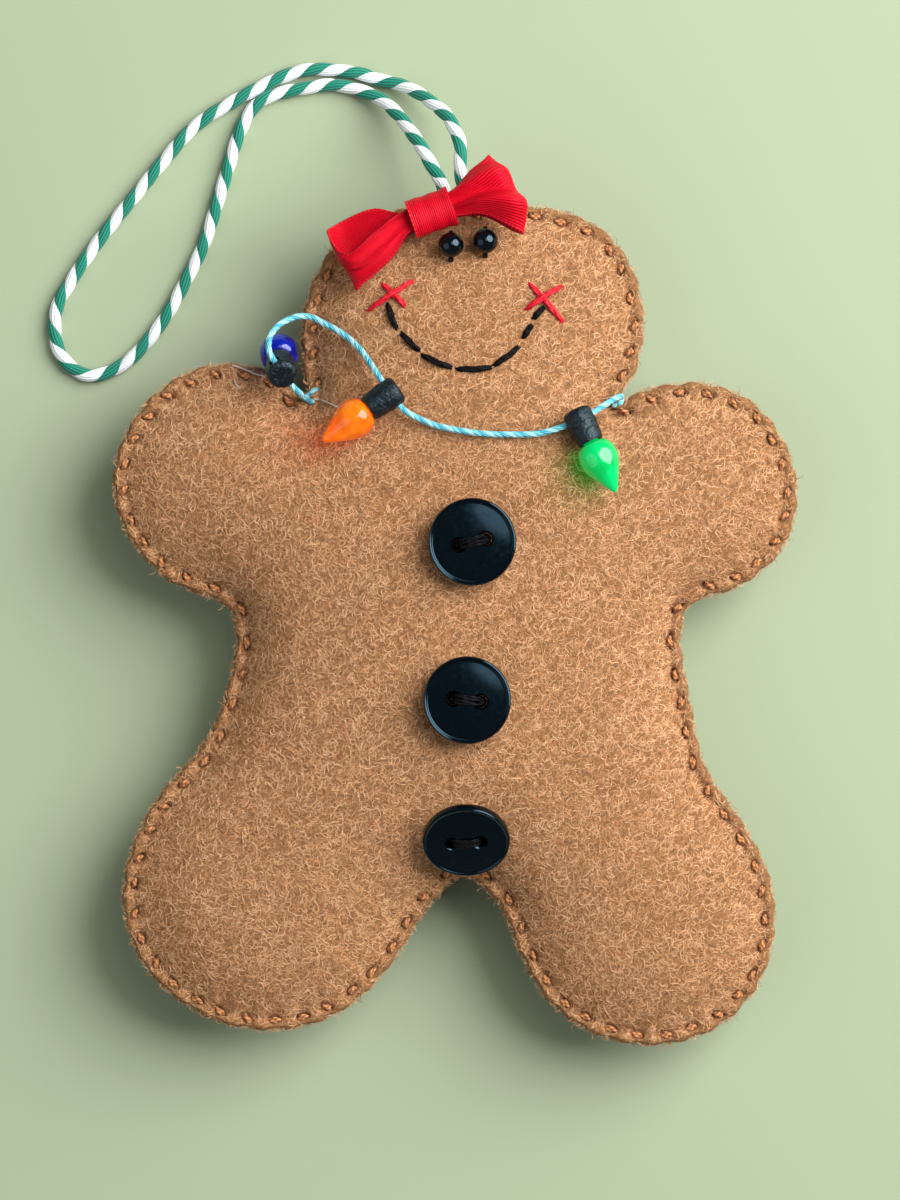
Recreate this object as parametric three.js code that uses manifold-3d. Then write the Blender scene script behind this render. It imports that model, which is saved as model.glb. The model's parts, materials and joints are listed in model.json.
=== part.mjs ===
// Felt christmas ornament: a stuffed gingerbread figure of two felt panels, with buttons, bead eyes,
// stitched smile and cheeks, a ribbon bow, a garland of three light bulbs and a hanging cord.
// Millimetres. X goes to the right of the figure as it is looked at, Y towards its head and Z out of
// its front. It lies on its back on the plane z = 0, and the origin is on that plane, under its middle.
import * as THREE from "three";
import { mergeVertices } from "three/addons/utils/BufferGeometryUtils.js";
import Module from "manifold-3d";

const wasm = await Module();
wasm.setup();

// Figure
const bodyWidth = 100;
const bodyHeight = 122.6;
const bodyThickness = 22;
const seamHeight = 11;
const restDepth = 0.5;
const feltThickness = 1.2;
const seamInset = 1.9;
const shoulderWidth = 1.7;
const pieceGap = 0.3;
const cutOverrun = 2;
const outlineCount = 76;
const skinSpacing = 7.6;

// Seam
const stitchCount = 104;
const seamThreadDiameter = 0.5;
const stitchSlant = 0.3;

// Buttons
const buttonDiameter = 12.7;
const buttonThickness = 2.3;
const buttonHoleDiameter = 1.9;
const buttonHoleSpacing = 4;
const buttonThreadDiameter = 0.8;
const buttonShank = 1;

// Eyes, smile and cheeks
const beadDiameter = 3.7;
const beadBore = 1.2;
const beadThreadDiameter = 0.5;
const smileThreadDiameter = 0.8;
const cheekThreadDiameter = 0.6;
const stitchClearance = 0.15;

// Bow
const bowLength = 28.6;
const ribbonWidth = 10.5;
const ribbonThickness = 0.35;
const bowDepth = 6;
const wrapLength = 6.4;
const wrapWidth = 5.6;
const wrapDepth = 5;
const wrapThickness = 0.45;
const bowHeight = 15.6;
const bowTurn = 19.3;
const bowTilt = -14;

// Garland
const garlandDiameter = 1;
const socketDiameter = 4.5;
const socketLength = 5.3;
const socketWall = 0.75;
const socketCupDepth = 2;
const socketCordInset = 1.4;
const socketBore = 1.7;
const bulbDiameter = 5.7;
const bulbLength = 8.1;
const bulbNeckLength = 1.6;
const garlandKnotDiameter = 1.9;

// Hanging cord
const cordDiameter = 2;
const cordKnotDiameter = 4.6;
const mouthLift = 0.8;
const mouthWidth = 5;

const finishes = {
  felt: { color: 0xb8845a, roughness: 0.95 },
  seamThread: { color: 0x9a5f34, roughness: 0.7 },
  stuffing: { color: 0xf0ece4, roughness: 1 },
  button: { color: 0x0b1118, roughness: 0.15 },
  bead: { color: 0x0b1118, roughness: 0.1 },
  blackThread: { color: 0x111111, roughness: 0.8 },
  redThread: { color: 0xd0152c, roughness: 0.7 },
  ribbon: { color: 0xcf1730, roughness: 0.45 },
  hangingCord: { color: 0x2f9d86, roughness: 0.75 },
  garlandCord: { color: 0x7fd3de, roughness: 0.6 },
  socket: { color: 0x1d2428, roughness: 0.5 },
  orange: { color: 0xff8a0c, roughness: 0.15 },
  green: { color: 0x0fd45a, roughness: 0.15 },
  blue: { color: 0x0d16c9, roughness: 0.15 },
};

// How many sides the tubes of cord and of thread have
const cordSides = 8;
const threadSides = 6;

// The photograph's pixels that the figure fills, and the places on it that are given in pixels
const framePixels = { centreX: 455.5, centreY: 625, width: 684, height: 840 };
const outlinePixels = [
  [475, 204], [545, 208], [598, 227], [629, 262], [643, 315], [636, 370], [616, 402],
  [648, 389], [700, 383], [752, 402], [786, 446], [797, 500], [780, 552], [740, 586], [692, 604],
  [681, 632], [690, 700], [706, 768], [742, 822], [769, 876], [774, 934], [755, 990], [712, 1030],
  [650, 1045], [591, 1032], [548, 1000], [522, 958], [498, 903], [463, 877],
  [430, 905], [394, 960], [357, 1000], [318, 1022], [268, 1030], [212, 1019], [156, 980],
  [127, 928], [125, 874], [152, 806], [205, 742], [227, 690], [236, 630], [226, 606],
  [168, 580], [124, 528], [114, 470], [136, 416], [175, 379], [222, 364], [272, 373], [306, 402],
  [303, 365], [302, 325], [315, 277], [346, 234], [402, 209],
];
const buttonPlaces = [
  { name: "top", pixel: [472, 542.5], holeTurn: 13, tip: 0 },
  { name: "middle", pixel: [467, 699], holeTurn: -6, tip: 0 },
  { name: "bottom", pixel: [466, 830], holeTurn: 4, tip: 38 },
];
const eyePixels = { left: [451, 247], right: [485, 243] };
const cheekPixels = {
  left: [[[383, 286], [405, 308]], [[369, 312], [412.6, 283.3]]],
  right: [[[529, 286], [561.3, 323.3]], [[525.6, 311.4], [560.6, 288.2]]],
};
const smilePixels = [
  [[388, 305.8], [397.2, 331]], [[402, 335.2], [419.6, 352.8]], [[422.4, 357], [451.2, 369.6]],
  [[456.8, 371], [490.5, 369.6]], [[493.3, 367.5], [517.9, 349.3]], [[522.8, 339.5], [531, 327.5]],
  [[532.8, 320.5], [543, 309.3]],
];
const bowPixel = [433, 219.5];
const mouthPixel = [456.4, 204.3];
const garlandKnotPixels = { left: [302.6, 396.5], right: [621, 396.8] };

// Each bulb: where its socket's outer end and its tip are, and the way the cord goes through it. The
// blue one hangs in the neck notch, and its heights are shares of the figure's thickness; the others
// lie on the felt
const bulbPlaces = [
  {
    name: "blue",
    from: [284, 378],
    to: [276, 336],
    hangShares: [0.9364, 0.4227],
    cordShares: [0.5, -0.7, -0.5],
  },
  { name: "orange", from: [399, 390], to: [324, 443], cordShares: [0.58, -0.81, 0] },
  { name: "green", from: [574, 412], to: [615, 496], cordShares: [0.937, 0.35, 0] },
];

// The bow's ribbon, as stations along it: across the ribbon, five points each with its share of the
// bow's length, of the ribbon's width and of the bow's depth
const ribbonShares = [
  // Centre, back
  [[0, 0.14, 0.25], [0, 0.07, 0.25], [0, 0, 0.25], [0, -0.07, 0.25], [0, -0.14, 0.25]],
  // Left, back, at the wrap
  [[-0.14, 0.16, 0.27], [-0.14, 0.09, 0.27], [-0.14, 0, 0.27], [-0.14, -0.09, 0.27], [-0.14, -0.17, 0.27]],
  // Left, back, middle
  [[-0.27, 0.36, 0.27], [-0.27, 0.17, 0.23], [-0.27, -0.02, 0.22], [-0.27, -0.21, 0.2], [-0.27, -0.4, 0.2]],
  // Left, back, near the fold
  [[-0.48, 0.34, 0.15], [-0.48, 0.11, 0.13], [-0.47, -0.12, 0.13], [-0.47, -0.36, 0.12], [-0.45, -0.6, 0.12]],
  // Left fold
  [[-0.53, 0.2, 0.6], [-0.53, 0, 0.55], [-0.52, -0.22, 0.46], [-0.5, -0.44, 0.33], [-0.49, -0.66, 0.2]],
  // Left, front, near the fold
  [[-0.48, -0.27, 1], [-0.48, -0.36, 0.96], [-0.48, -0.44, 0.8], [-0.47, -0.53, 0.58], [-0.46, -0.61, 0.32]],
  // Left, front, middle
  [[-0.3, -0.07, 0.88], [-0.3, -0.17, 0.9], [-0.3, -0.27, 0.83], [-0.3, -0.37, 0.72], [-0.3, -0.47, 0.55]],
  // Left, front, at the wrap
  [[-0.14, 0.12, 0.58], [-0.14, 0.05, 0.58], [-0.14, -0.04, 0.58], [-0.14, -0.11, 0.58], [-0.14, -0.19, 0.58]],
  // Centre, front
  [[0, 0.14, 0.58], [0, 0.07, 0.58], [0, 0, 0.58], [0, -0.07, 0.58], [0, -0.14, 0.58]],
  // Right, front, at the wrap
  [[0.14, 0.18, 0.56], [0.14, 0.09, 0.58], [0.14, -0.02, 0.54], [0.14, -0.12, 0.57], [0.14, -0.2, 0.53]],
  // Right, front, middle
  [[0.26, 0.37, 0.52], [0.27, 0.18, 0.8], [0.27, 0.02, 0.62], [0.26, -0.14, 0.9], [0.24, -0.29, 0.57]],
  // Right, front, near the fold
  [[0.34, 0.45, 0.53], [0.38, 0.21, 0.83], [0.4, -0.04, 0.68], [0.42, -0.3, 0.97], [0.36, -0.6, 0.43]],
  // Right fold
  [[0.37, 0.52, 0.4], [0.43, 0.23, 0.57], [0.44, -0.09, 0.48], [0.47, -0.34, 0.65], [0.4, -0.7, 0.25]],
  // Right, back, near the fold
  [[0.34, 0.45, 0.17], [0.38, 0.21, 0.15], [0.39, -0.06, 0.13], [0.4, -0.32, 0.13], [0.36, -0.59, 0.13]],
  // Right, back, middle
  [[0.25, 0.34, 0.22], [0.25, 0.18, 0.2], [0.25, 0.02, 0.18], [0.25, -0.13, 0.18], [0.25, -0.27, 0.2]],
  // Right, back, at the wrap
  [[0.14, 0.16, 0.27], [0.14, 0.09, 0.27], [0.14, 0, 0.27], [0.14, -0.09, 0.27], [0.14, -0.17, 0.27]],
];

// The boxes that part the stuffing into wads, as shares of the figure's width and height: left,
// right, low and high; the body's wad is what the others leave
const wadShares = {
  head: [[-0.225, 0.25, 0.262, 0.35], [-0.26, 0.29, 0.318, 0.6]],
  arm_left: [[-0.6, -0.3, 0.026, 0.6]],
  arm_right: [[0.3, 0.6, 0.026, 0.6]],
  leg_left: [[-0.6, 0.011, -0.6, -0.215]],
  leg_right: [[0.011, 0.6, -0.6, -0.215]],
};

// Routes of the cords, point by point: the hanging cord outside the seam, its two ends in the seam,
// and the garland cord from one neck notch to the other
const hangingRoute = [
  [0.69, 66.72, 11], [0.66, 70.43, 10.4], [-0.22, 72.71, 9], [-1.24, 74.68, 7.4], [-3.14, 76.5, 5.4],
  [-5.33, 78.26, 3.6], [-7.96, 79.6, 2], [-11.32, 80.49, 1.15], [-14.09, 81.4, 1], [-17.16, 81.83, 1],
  [-19.78, 82.05, 1], [-22.56, 81.83, 1], [-25.48, 80.94, 1], [-28.54, 79.57, 1], [-32.63, 77.38, 1],
  [-38.33, 73.73, 1], [-43, 68.62, 1], [-47.38, 63.29, 1], [-51.39, 58.4, 1], [-55.41, 52.9, 1],
  [-57.1, 50.22, 1], [-58.47, 47.89, 1], [-59.1, 45.55, 1], [-59.1, 42.49, 1], [-58.27, 39.86, 1],
  [-56.43, 37.81, 1], [-54.09, 36.79, 1], [-51.76, 37.14, 1], [-49.06, 38.48, 1], [-46.7, 40.5, 1],
  [-43, 45.19, 1], [-39.79, 50.88, 1], [-37.16, 56.25, 1], [-34.47, 64.63, 1], [-31.32, 74.02, 1],
  [-29.3, 76.9, 1], [-27, 78.2, 1], [-24.09, 78.93, 1], [-21.39, 79.38, 1], [-18.95, 79.73, 1],
  [-16.28, 79.49, 1.1], [-13.58, 78.7, 1.6], [-10.88, 77.38, 2.6], [-8.69, 75.34, 4.2],
  [-7.08, 73.15, 6.2], [-5.53, 70.88, 8.2], [-4.2, 68.47, 10], [-2.26, 64.97, 11],
];
const cordEndRoutes = {
  left: [[-1.75, 63.8, 11], [-1.4, 62.6, 11], [-1.15, 61.2, 11], [-1.1, 59.6, 11], [-1.1, 57.4, 11]],
  right: [[0.85, 65.4, 11], [1.25, 63.6, 11], [1.4, 61.6, 11], [1.4, 59.6, 11], [1.3, 57.4, 11]],
};
const garlandRoute = [
  [-22.4, 33.4, 15], [-22.55, 33.6, 16.3], [-23.1, 34.1, 17.4], [-24.2, 35.28, 18.48],
  [-25.2, 36.72, 19.37], [-26.2, 38.16, 20.26], [-27, 39.7, 20.4], [-27, 41.45, 19.6], [-26.2, 43, 18.4],
  [-24.8, 44.15, 17.2], [-22.8, 44.9, 16.3], [-21, 44.8, 16], [-19.23, 43.93, 16.1], [-17.18, 42.82, 16.7],
  [-15.13, 41.3, 17.6], [-13.6, 39.7, 18.7], [-12.4, 38, 20.2], [-11.3, 36.3, 21.7], [-10.2, 34.63, 22.2],
  [-9.4, 33.49, 22.2], [-8.6, 32.35, 22.2], [-7.3, 31, 22.05], [-5.3, 29.9, 21.6], [-3, 28.95, 21.7],
  [-0.7, 28.4, 21.8], [3.6, 27.75, 21.7], [8, 27.6, 21.5], [12, 27.75, 21.42], [15.9, 28.87, 21.4],
  [17.93, 29.86, 21.37], [19.8, 30.77, 21.33], [21.3, 31.7, 20.2], [22.5, 32.5, 18.6],
  [23.5, 33.05, 16.8], [24.1, 33.25, 15.1],
];

// A place on the figure from a pixel of the photograph
function place(pixel) {
  const x = ((pixel[0] - framePixels.centreX) / framePixels.width) * bodyWidth;
  const y = ((framePixels.centreY - pixel[1]) / framePixels.height) * bodyHeight;
  return new THREE.Vector2(x, y);
}

function degrees(angle) {
  return THREE.MathUtils.degToRad(angle);
}

// A geometry as a solid that can be cut, and back
function solidOf(geometry) {
  const bare = geometry.clone();
  bare.deleteAttribute("normal");
  bare.deleteAttribute("uv");
  const merged = mergeVertices(bare);
  const mesh = new wasm.Mesh({
    numProp: 3,
    vertProperties: new Float32Array(merged.attributes.position.array),
    triVerts: new Uint32Array(merged.index.array),
  });
  return new wasm.Manifold(mesh);
}

function geometryOf(solid) {
  const mesh = solid.getMesh();
  const geometry = new THREE.BufferGeometry();
  const positions = new Float32Array(mesh.vertProperties);
  geometry.setAttribute("position", new THREE.BufferAttribute(positions, mesh.numProp));
  geometry.setIndex(new THREE.BufferAttribute(new Uint32Array(mesh.triVerts), 1));
  return geometry;
}

function indexedGeometry(points, faces) {
  const geometry = new THREE.BufferGeometry();
  const positions = points.flatMap((point) => point.toArray());
  geometry.setAttribute("position", new THREE.Float32BufferAttribute(positions, 3));
  geometry.setIndex(faces.flat());
  geometry.computeVertexNormals();
  return geometry;
}

// A round section swept along a curve, with flat ends
function tube(points, diameter, sides, steps) {
  const section = new THREE.Shape();
  for (let side = 0; side < sides; side += 1) {
    const angle = (side / sides) * Math.PI * 2;
    const x = (Math.cos(angle) * diameter) / 2;
    const y = (Math.sin(angle) * diameter) / 2;
    if (side === 0) section.moveTo(x, y);
    else section.lineTo(x, y);
  }
  section.closePath();
  const extrudePath = new THREE.CatmullRomCurve3(points, false, "centripetal");
  return new THREE.ExtrudeGeometry(section, { steps, extrudePath });
}

function vectors(route) {
  return route.map((point) => new THREE.Vector3(...point));
}

// The outline of the felt, its points at even steps, and lines inside it at a given inset
const outlineCurve = new THREE.CatmullRomCurve3(
  outlinePixels.map((pixel) => {
    const at = place(pixel);
    return new THREE.Vector3(at.x, at.y, 0);
  }),
  true,
  "centripetal",
);

const edgeLine = outlineCurve.getSpacedPoints(outlineCount).slice(0, outlineCount);

// Each point moves square to the mean of the two sides that meet in it
function insetLine(inset) {
  return edgeLine.map((point, index) => {
    const before = edgeLine[(index + outlineCount - 1) % outlineCount];
    const after = edgeLine[(index + 1) % outlineCount];
    const arriving = point.clone().sub(before).normalize();
    const along = after.clone().sub(point).normalize().add(arriving).normalize();
    return new THREE.Vector2(point.x + along.y * inset, point.y - along.x * inset);
  });
}

function isInside(line, x, y) {
  let inside = false;
  for (let i = 0, j = line.length - 1; i < line.length; j = i, i += 1) {
    const a = line[i];
    const b = line[j];
    const crosses = a.y > y !== b.y > y;
    if (crosses && x < ((b.x - a.x) * (y - a.y)) / (b.y - a.y) + a.x) inside = !inside;
  }
  return inside;
}

// The swell of a skin held along a line and pressed evenly from one side, from 0 to 1: Poisson's
// equation on a square grid, solved by over-relaxation
const gridCount = 150;
const sweepCount = 260;
const relaxation = 1.9;
const swellPower = 0.55;

function swellWithin(line) {
  const box = new THREE.Box2().setFromPoints(line);
  const cell = bodyWidth / gridCount;
  const columns = Math.ceil((box.max.x - box.min.x) / cell) + 3;
  const rows = Math.ceil((box.max.y - box.min.y) / cell) + 3;
  const startX = box.min.x - cell;
  const startY = box.min.y - cell;
  const held = new Uint8Array(columns * rows);
  const lift = new Float64Array(columns * rows);
  for (let row = 0; row < rows; row += 1) {
    for (let column = 0; column < columns; column += 1) {
      held[row * columns + column] = isInside(line, startX + column * cell, startY + row * cell) ? 0 : 1;
    }
  }
  for (let sweep = 0; sweep < sweepCount; sweep += 1) {
    for (let at = columns; at < columns * (rows - 1); at += 1) {
      if (held[at]) continue;
      const mean = (lift[at - 1] + lift[at + 1] + lift[at - columns] + lift[at + columns] + 1) / 4;
      lift[at] += (mean - lift[at]) * relaxation;
    }
  }
  const highest = Math.max(...lift);
  return (x, y) => {
    const u = (x - startX) / cell;
    const v = (y - startY) / cell;
    const column = Math.min(Math.max(Math.floor(u), 0), columns - 2);
    const row = Math.min(Math.max(Math.floor(v), 0), rows - 2);
    const at = row * columns + column;
    const low = THREE.MathUtils.lerp(lift[at], lift[at + 1], u - column);
    const high = THREE.MathUtils.lerp(lift[at + columns], lift[at + columns + 1], u - column);
    return (Math.max(THREE.MathUtils.lerp(low, high, v - row), 0) / highest) ** swellPower;
  };
}

// Delaunay triangles of some points, by adding them one at a time
function triangulate(points) {
  const reach = bodyWidth + bodyHeight;
  const corners = [...points];
  for (const turn of [0, 1, 2]) {
    const angle = (turn * Math.PI * 2) / 3;
    corners.push(new THREE.Vector2(Math.cos(angle), Math.sin(angle)).multiplyScalar(reach * reach));
  }
  const count = points.length;
  const withCircle = (a, b, c) => {
    const [p, q, r] = [corners[a], corners[b], corners[c]];
    const d = 2 * (p.x * (q.y - r.y) + q.x * (r.y - p.y) + r.x * (p.y - q.y));
    const [pp, qq, rr] = [p.lengthSq(), q.lengthSq(), r.lengthSq()];
    const x = (pp * (q.y - r.y) + qq * (r.y - p.y) + rr * (p.y - q.y)) / d;
    const y = (pp * (r.x - q.x) + qq * (p.x - r.x) + rr * (q.x - p.x)) / d;
    return { corners: d > 0 ? [a, b, c] : [a, c, b], x, y, squared: (p.x - x) ** 2 + (p.y - y) ** 2 };
  };
  let faces = [withCircle(count, count + 1, count + 2)];
  points.forEach((point, index) => {
    const rim = new Map();
    const kept = [];
    for (const face of faces) {
      if ((point.x - face.x) ** 2 + (point.y - face.y) ** 2 >= face.squared) {
        kept.push(face);
        continue;
      }
      for (let side = 0; side < 3; side += 1) {
        const [a, b] = [face.corners[side], face.corners[(side + 1) % 3]];
        if (!rim.delete(`${b} ${a}`)) rim.set(`${a} ${b}`, [a, b]);
      }
    }
    for (const [a, b] of rim.values()) kept.push(withCircle(a, b, index));
    faces = kept;
  });
  return faces.map((face) => face.corners).filter((face) => Math.max(...face) < count);
}

// The points and faces that both panels share: rings along the edge, the seam and the shoulder of
// the swell, and a lattice within
const seamLine = insetLine(seamInset);
const shoulderLine = insetLine(seamInset + shoulderWidth);
const innerLimit = insetLine(seamInset + shoulderWidth + skinSpacing / 2);
const swell = swellWithin(seamLine);

function latticePoints(limit, spacing) {
  const points = [];
  const rowStep = (spacing * Math.sqrt(3)) / 2;
  const rows = Math.ceil(bodyHeight / rowStep / 2);
  const columns = Math.ceil(bodyWidth / spacing / 2);
  for (let row = -rows; row <= rows; row += 1) {
    for (let column = -columns; column <= columns; column += 1) {
      const x = (column + (row % 2 === 0 ? 0 : 1 / 2)) * spacing;
      const y = row * rowStep;
      if (isInside(limit, x, y)) points.push(new THREE.Vector2(x, y));
    }
  }
  return points;
}

const rings = [insetLine(0), seamLine, shoulderLine];
const skinPlan = [...rings.flat(), ...latticePoints(innerLimit, skinSpacing)];
const shoulderStart = outlineCount * 2;
const innerFaces = triangulate(skinPlan.slice(shoulderStart))
  .filter((face) => {
    const [a, b, c] = face.map((corner) => skinPlan[corner + shoulderStart]);
    return isInside(shoulderLine, (a.x + b.x + c.x) / 3, (a.y + b.y + c.y) / 3);
  })
  .map((face) => face.map((corner) => corner + shoulderStart));

// Faces between two rings of points; the outline runs clockwise, so the inner ring is on its right
function ringFaces(outer, inner, count) {
  const faces = [];
  for (let step = 0; step < count; step += 1) {
    const next = (step + 1) % count;
    faces.push([outer + step, inner + step, inner + next], [outer + step, inner + next, outer + next]);
  }
  return faces;
}

const skinFaces = [
  ...ringFaces(0, outlineCount, outlineCount),
  ...ringFaces(outlineCount, shoulderStart, outlineCount),
  ...innerFaces,
];

// The seam opens a little where the hanging cord goes in
const mouthPlace = place(mouthPixel);

function mouthLiftAt(point) {
  return mouthLift * Math.exp(-((point.distanceTo(mouthPlace) / mouthWidth) ** 2));
}

// A panel's outer points over the seam's plane, rising to a crown, and the points of its inside
const seamSinkShare = 0.3;

function outerPoints(rise) {
  const flange = pieceGap / 2 + feltThickness;
  return skinPlan.map((point, index) => {
    const sunk = index >= outlineCount && index < shoulderStart ? feltThickness * seamSinkShare : 0;
    const swelling = index < shoulderStart ? 0 : swell(point.x, point.y);
    const z = flange - sunk + (rise - flange) * swelling + mouthLiftAt(point);
    return new THREE.Vector3(point.x, point.y, z);
  });
}

function offsetInward(outer, depth) {
  const normals = indexedGeometry(outer, skinFaces).attributes.normal;
  return outer.map((point, index) => {
    const normal = new THREE.Vector3().fromBufferAttribute(normals, index);
    return point.clone().addScaledVector(normal, -depth);
  });
}

function feltPanel(rise, side) {
  const outer = outerPoints(rise);
  const inner = offsetInward(outer, feltThickness);
  for (let index = 0; index < shoulderStart; index += 1) {
    const point = skinPlan[index];
    inner[index].set(point.x, point.y, pieceGap / 2 + mouthLiftAt(point));
  }
  const count = skinPlan.length;
  const faces = [...skinFaces];
  for (const [a, b, c] of skinFaces) faces.push([a + count, c + count, b + count]);
  faces.push(...ringFaces(count, 0, outlineCount));
  const points = [...outer, ...inner];
  for (const point of points) point.z *= side;
  const turned = side > 0 ? faces : faces.map(([a, b, c]) => [a, c, b]);
  return solidOf(indexedGeometry(points, turned)).translate([0, 0, seamHeight]);
}

// The hollow between the panels, a gap inside both
function hollowBetween(frontRise, backRise) {
  const depth = feltThickness + pieceGap;
  const front = offsetInward(outerPoints(frontRise), depth).slice(shoulderStart);
  const back = offsetInward(outerPoints(backRise), depth).slice(shoulderStart);
  for (const point of back) point.z = -point.z;
  const count = front.length;
  const faces = innerFaces.map((face) => face.map((corner) => corner - shoulderStart));
  const backFaces = faces.map(([a, b, c]) => [a + count, c + count, b + count]);
  faces.push(...backFaces, ...ringFaces(count, 0, outlineCount));
  return solidOf(indexedGeometry([...front, ...back], faces)).translate([0, 0, seamHeight]);
}

function boxSolid(low, high) {
  const size = high.clone().sub(low);
  const box = new THREE.BoxGeometry(size.x, size.y, size.z);
  box.translate((low.x + high.x) / 2, (low.y + high.y) / 2, (low.z + high.z) / 2);
  return solidOf(box);
}

const frontRise = bodyThickness - seamHeight;
const backRise = seamHeight + restDepth;

const ornament = new THREE.Group();
ornament.name = "felt_ornament";

function addPiece(name, geometry, finish, parent = ornament) {
  const mesh = new THREE.Mesh(geometry, new THREE.MeshStandardMaterial({ ...finish, metalness: 0 }));
  mesh.name = name;
  parent.add(mesh);
  return mesh;
}

// Cord ends held in the seam, their knot, and the channel that both panels leave for them
const channels = Object.values(cordEndRoutes).map((route) => {
  return solidOf(tube(vectors(route), cordDiameter + pieceGap * 2, cordSides, 6));
});
const knotReach = 1.1;
const knotPlace = new THREE.Vector3(
  mouthPlace.x,
  cordEndRoutes.left.at(-1)[1] - (cordKnotDiameter / 2) * knotReach,
  seamHeight,
);

function knotGeometry(diameter) {
  const knot = new THREE.SphereGeometry(diameter / 2, 12, 8);
  knot.scale(1, knotReach, 1);
  return knot;
}

for (const [side, route] of Object.entries(cordEndRoutes)) {
  addPiece(`cord_end_${side}`, tube(vectors(route), cordDiameter, cordSides, 5), finishes.hangingCord);
}
const cordKnot = addPiece("cord_knot", knotGeometry(cordKnotDiameter), finishes.hangingCord);
cordKnot.position.copy(knotPlace);

// Felt panels
let frontSolid = feltPanel(frontRise, 1);
let backSolid = feltPanel(backRise, -1);
for (const channel of channels) {
  frontSolid = frontSolid.subtract(channel);
  backSolid = backSolid.subtract(channel);
}
const underFloor = new THREE.Vector3(-bodyWidth, -bodyHeight, -bodyThickness);
backSolid = backSolid.subtract(boxSolid(underFloor, new THREE.Vector3(bodyWidth, bodyHeight, 0)));
addPiece("front_panel", geometryOf(frontSolid), finishes.felt);
addPiece("back_panel", geometryOf(backSolid), finishes.felt);

// Stuffing: one wad each in the body, the head, the arms and the legs
const pocket = solidOf(knotGeometry(cordKnotDiameter + pieceGap * 2)).translate(knotPlace.toArray());
let hollow = hollowBetween(frontRise, backRise).subtract(pocket);
for (const channel of channels) hollow = hollow.subtract(channel);

function wadRegion(boxes, margin) {
  const solids = boxes.map(([left, right, low, high]) => {
    const near = new THREE.Vector3(left * bodyWidth - margin, low * bodyHeight - margin, -bodyThickness);
    const far = new THREE.Vector3(right * bodyWidth + margin, high * bodyHeight + margin, bodyThickness * 2);
    return boxSolid(near, far);
  });
  return solids.reduce((joined, solid) => joined.add(solid));
}

let bodyWad = hollow;
for (const [name, boxes] of Object.entries(wadShares)) {
  const wad = hollow.intersect(wadRegion(boxes, -pieceGap / 2));
  addPiece(`stuffing_${name}`, geometryOf(wad), finishes.stuffing);
  bodyWad = bodyWad.subtract(wadRegion(boxes, pieceGap / 2));
}
addPiece("stuffing_body", geometryOf(bodyWad), finishes.stuffing);

// The height of a panel's faces over the seam's plane, at a place and around it
const frontPoints = outerPoints(frontRise);
const backPoints = outerPoints(backRise);

function heightAt(points, x, y) {
  for (const face of skinFaces) {
    const [a, b, c] = face.map((corner) => points[corner]);
    const area = (b.x - a.x) * (c.y - a.y) - (c.x - a.x) * (b.y - a.y);
    const shareB = ((x - a.x) * (c.y - a.y) - (c.x - a.x) * (y - a.y)) / area;
    const shareC = ((b.x - a.x) * (y - a.y) - (x - a.x) * (b.y - a.y)) / area;
    if (shareB >= 0 && shareC >= 0 && shareB + shareC <= 1) {
      return a.z + shareB * (b.z - a.z) + shareC * (c.z - a.z);
    }
  }
  return 0;
}

function heightAround(points, x, y, reach) {
  const around = [[0, 0], [reach, 0], [-reach, 0], [0, reach], [0, -reach]];
  return Math.max(...around.map(([dx, dy]) => heightAt(points, x + dx, y + dy)));
}

// Seam thread: one thread on each side, its stitches slanting across the seam on the panel's flange
const seamLay = seamInset - seamThreadDiameter / 2 - stitchClearance;

function onFlange(share, inset) {
  const at = share * outlineCount;
  const step = Math.floor(at) % outlineCount;
  const next = (step + 1) % outlineCount;
  const onEdge = rings[0][step].clone().lerp(rings[0][next], at - Math.floor(at));
  const onSeam = seamLine[step].clone().lerp(seamLine[next], at - Math.floor(at));
  return onEdge.lerp(onSeam, inset / seamInset);
}

function seamThread(panelPoints, side) {
  const slant = (stitchSlant * seamThreadDiameter) / 2;
  const radius = seamThreadDiameter / 2;
  const stepCount = stitchCount * 2;
  const points = [];
  for (let step = 1; step < stepCount; step += 1) {
    const at = onFlange(step / stepCount, step % 2 === 0 ? seamLay + slant : seamLay - slant);
    const height = heightAround(panelPoints, at.x, at.y, radius) + radius + stitchClearance;
    points.push(new THREE.Vector3(at.x, at.y, seamHeight + side * height));
  }
  return tube(points, seamThreadDiameter, 3, stepCount - 2);
}

addPiece("seam_thread_front", seamThread(frontPoints, 1), finishes.seamThread);
addPiece("seam_thread_back", seamThread(backPoints, -1), finishes.seamThread);

// Buttons: a dished face inside a thin rim, and two holes, as shares of the radius and thickness
const buttonShares = [
  [0, 0], [0.72, 0], [0.93, 0.22], [1, 0.5], [1, 0.8], [0.96, 1], [0.9, 0.95], [0.84, 0.76], [0, 0.64],
];
const bridgeShare = 0.66;

function lathe(profile, segments) {
  const points = profile.map(([radius, along]) => new THREE.Vector2(radius, along));
  return new THREE.LatheGeometry(points, segments);
}

function buttonGeometry() {
  const radius = buttonDiameter / 2;
  const profile = buttonShares.map(([r, z]) => [r * radius, z * buttonThickness]);
  let button = solidOf(lathe(profile, 26).rotateX(Math.PI / 2));
  for (const side of [-1, 1]) {
    const depth = buttonThickness + cutOverrun * 2;
    const hole = new THREE.CylinderGeometry(buttonHoleDiameter / 2, buttonHoleDiameter / 2, depth, 10);
    hole.rotateX(Math.PI / 2);
    hole.translate((side * buttonHoleSpacing) / 2, 0, buttonThickness / 2);
    button = button.subtract(solidOf(hole));
  }
  return geometryOf(button);
}

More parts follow.
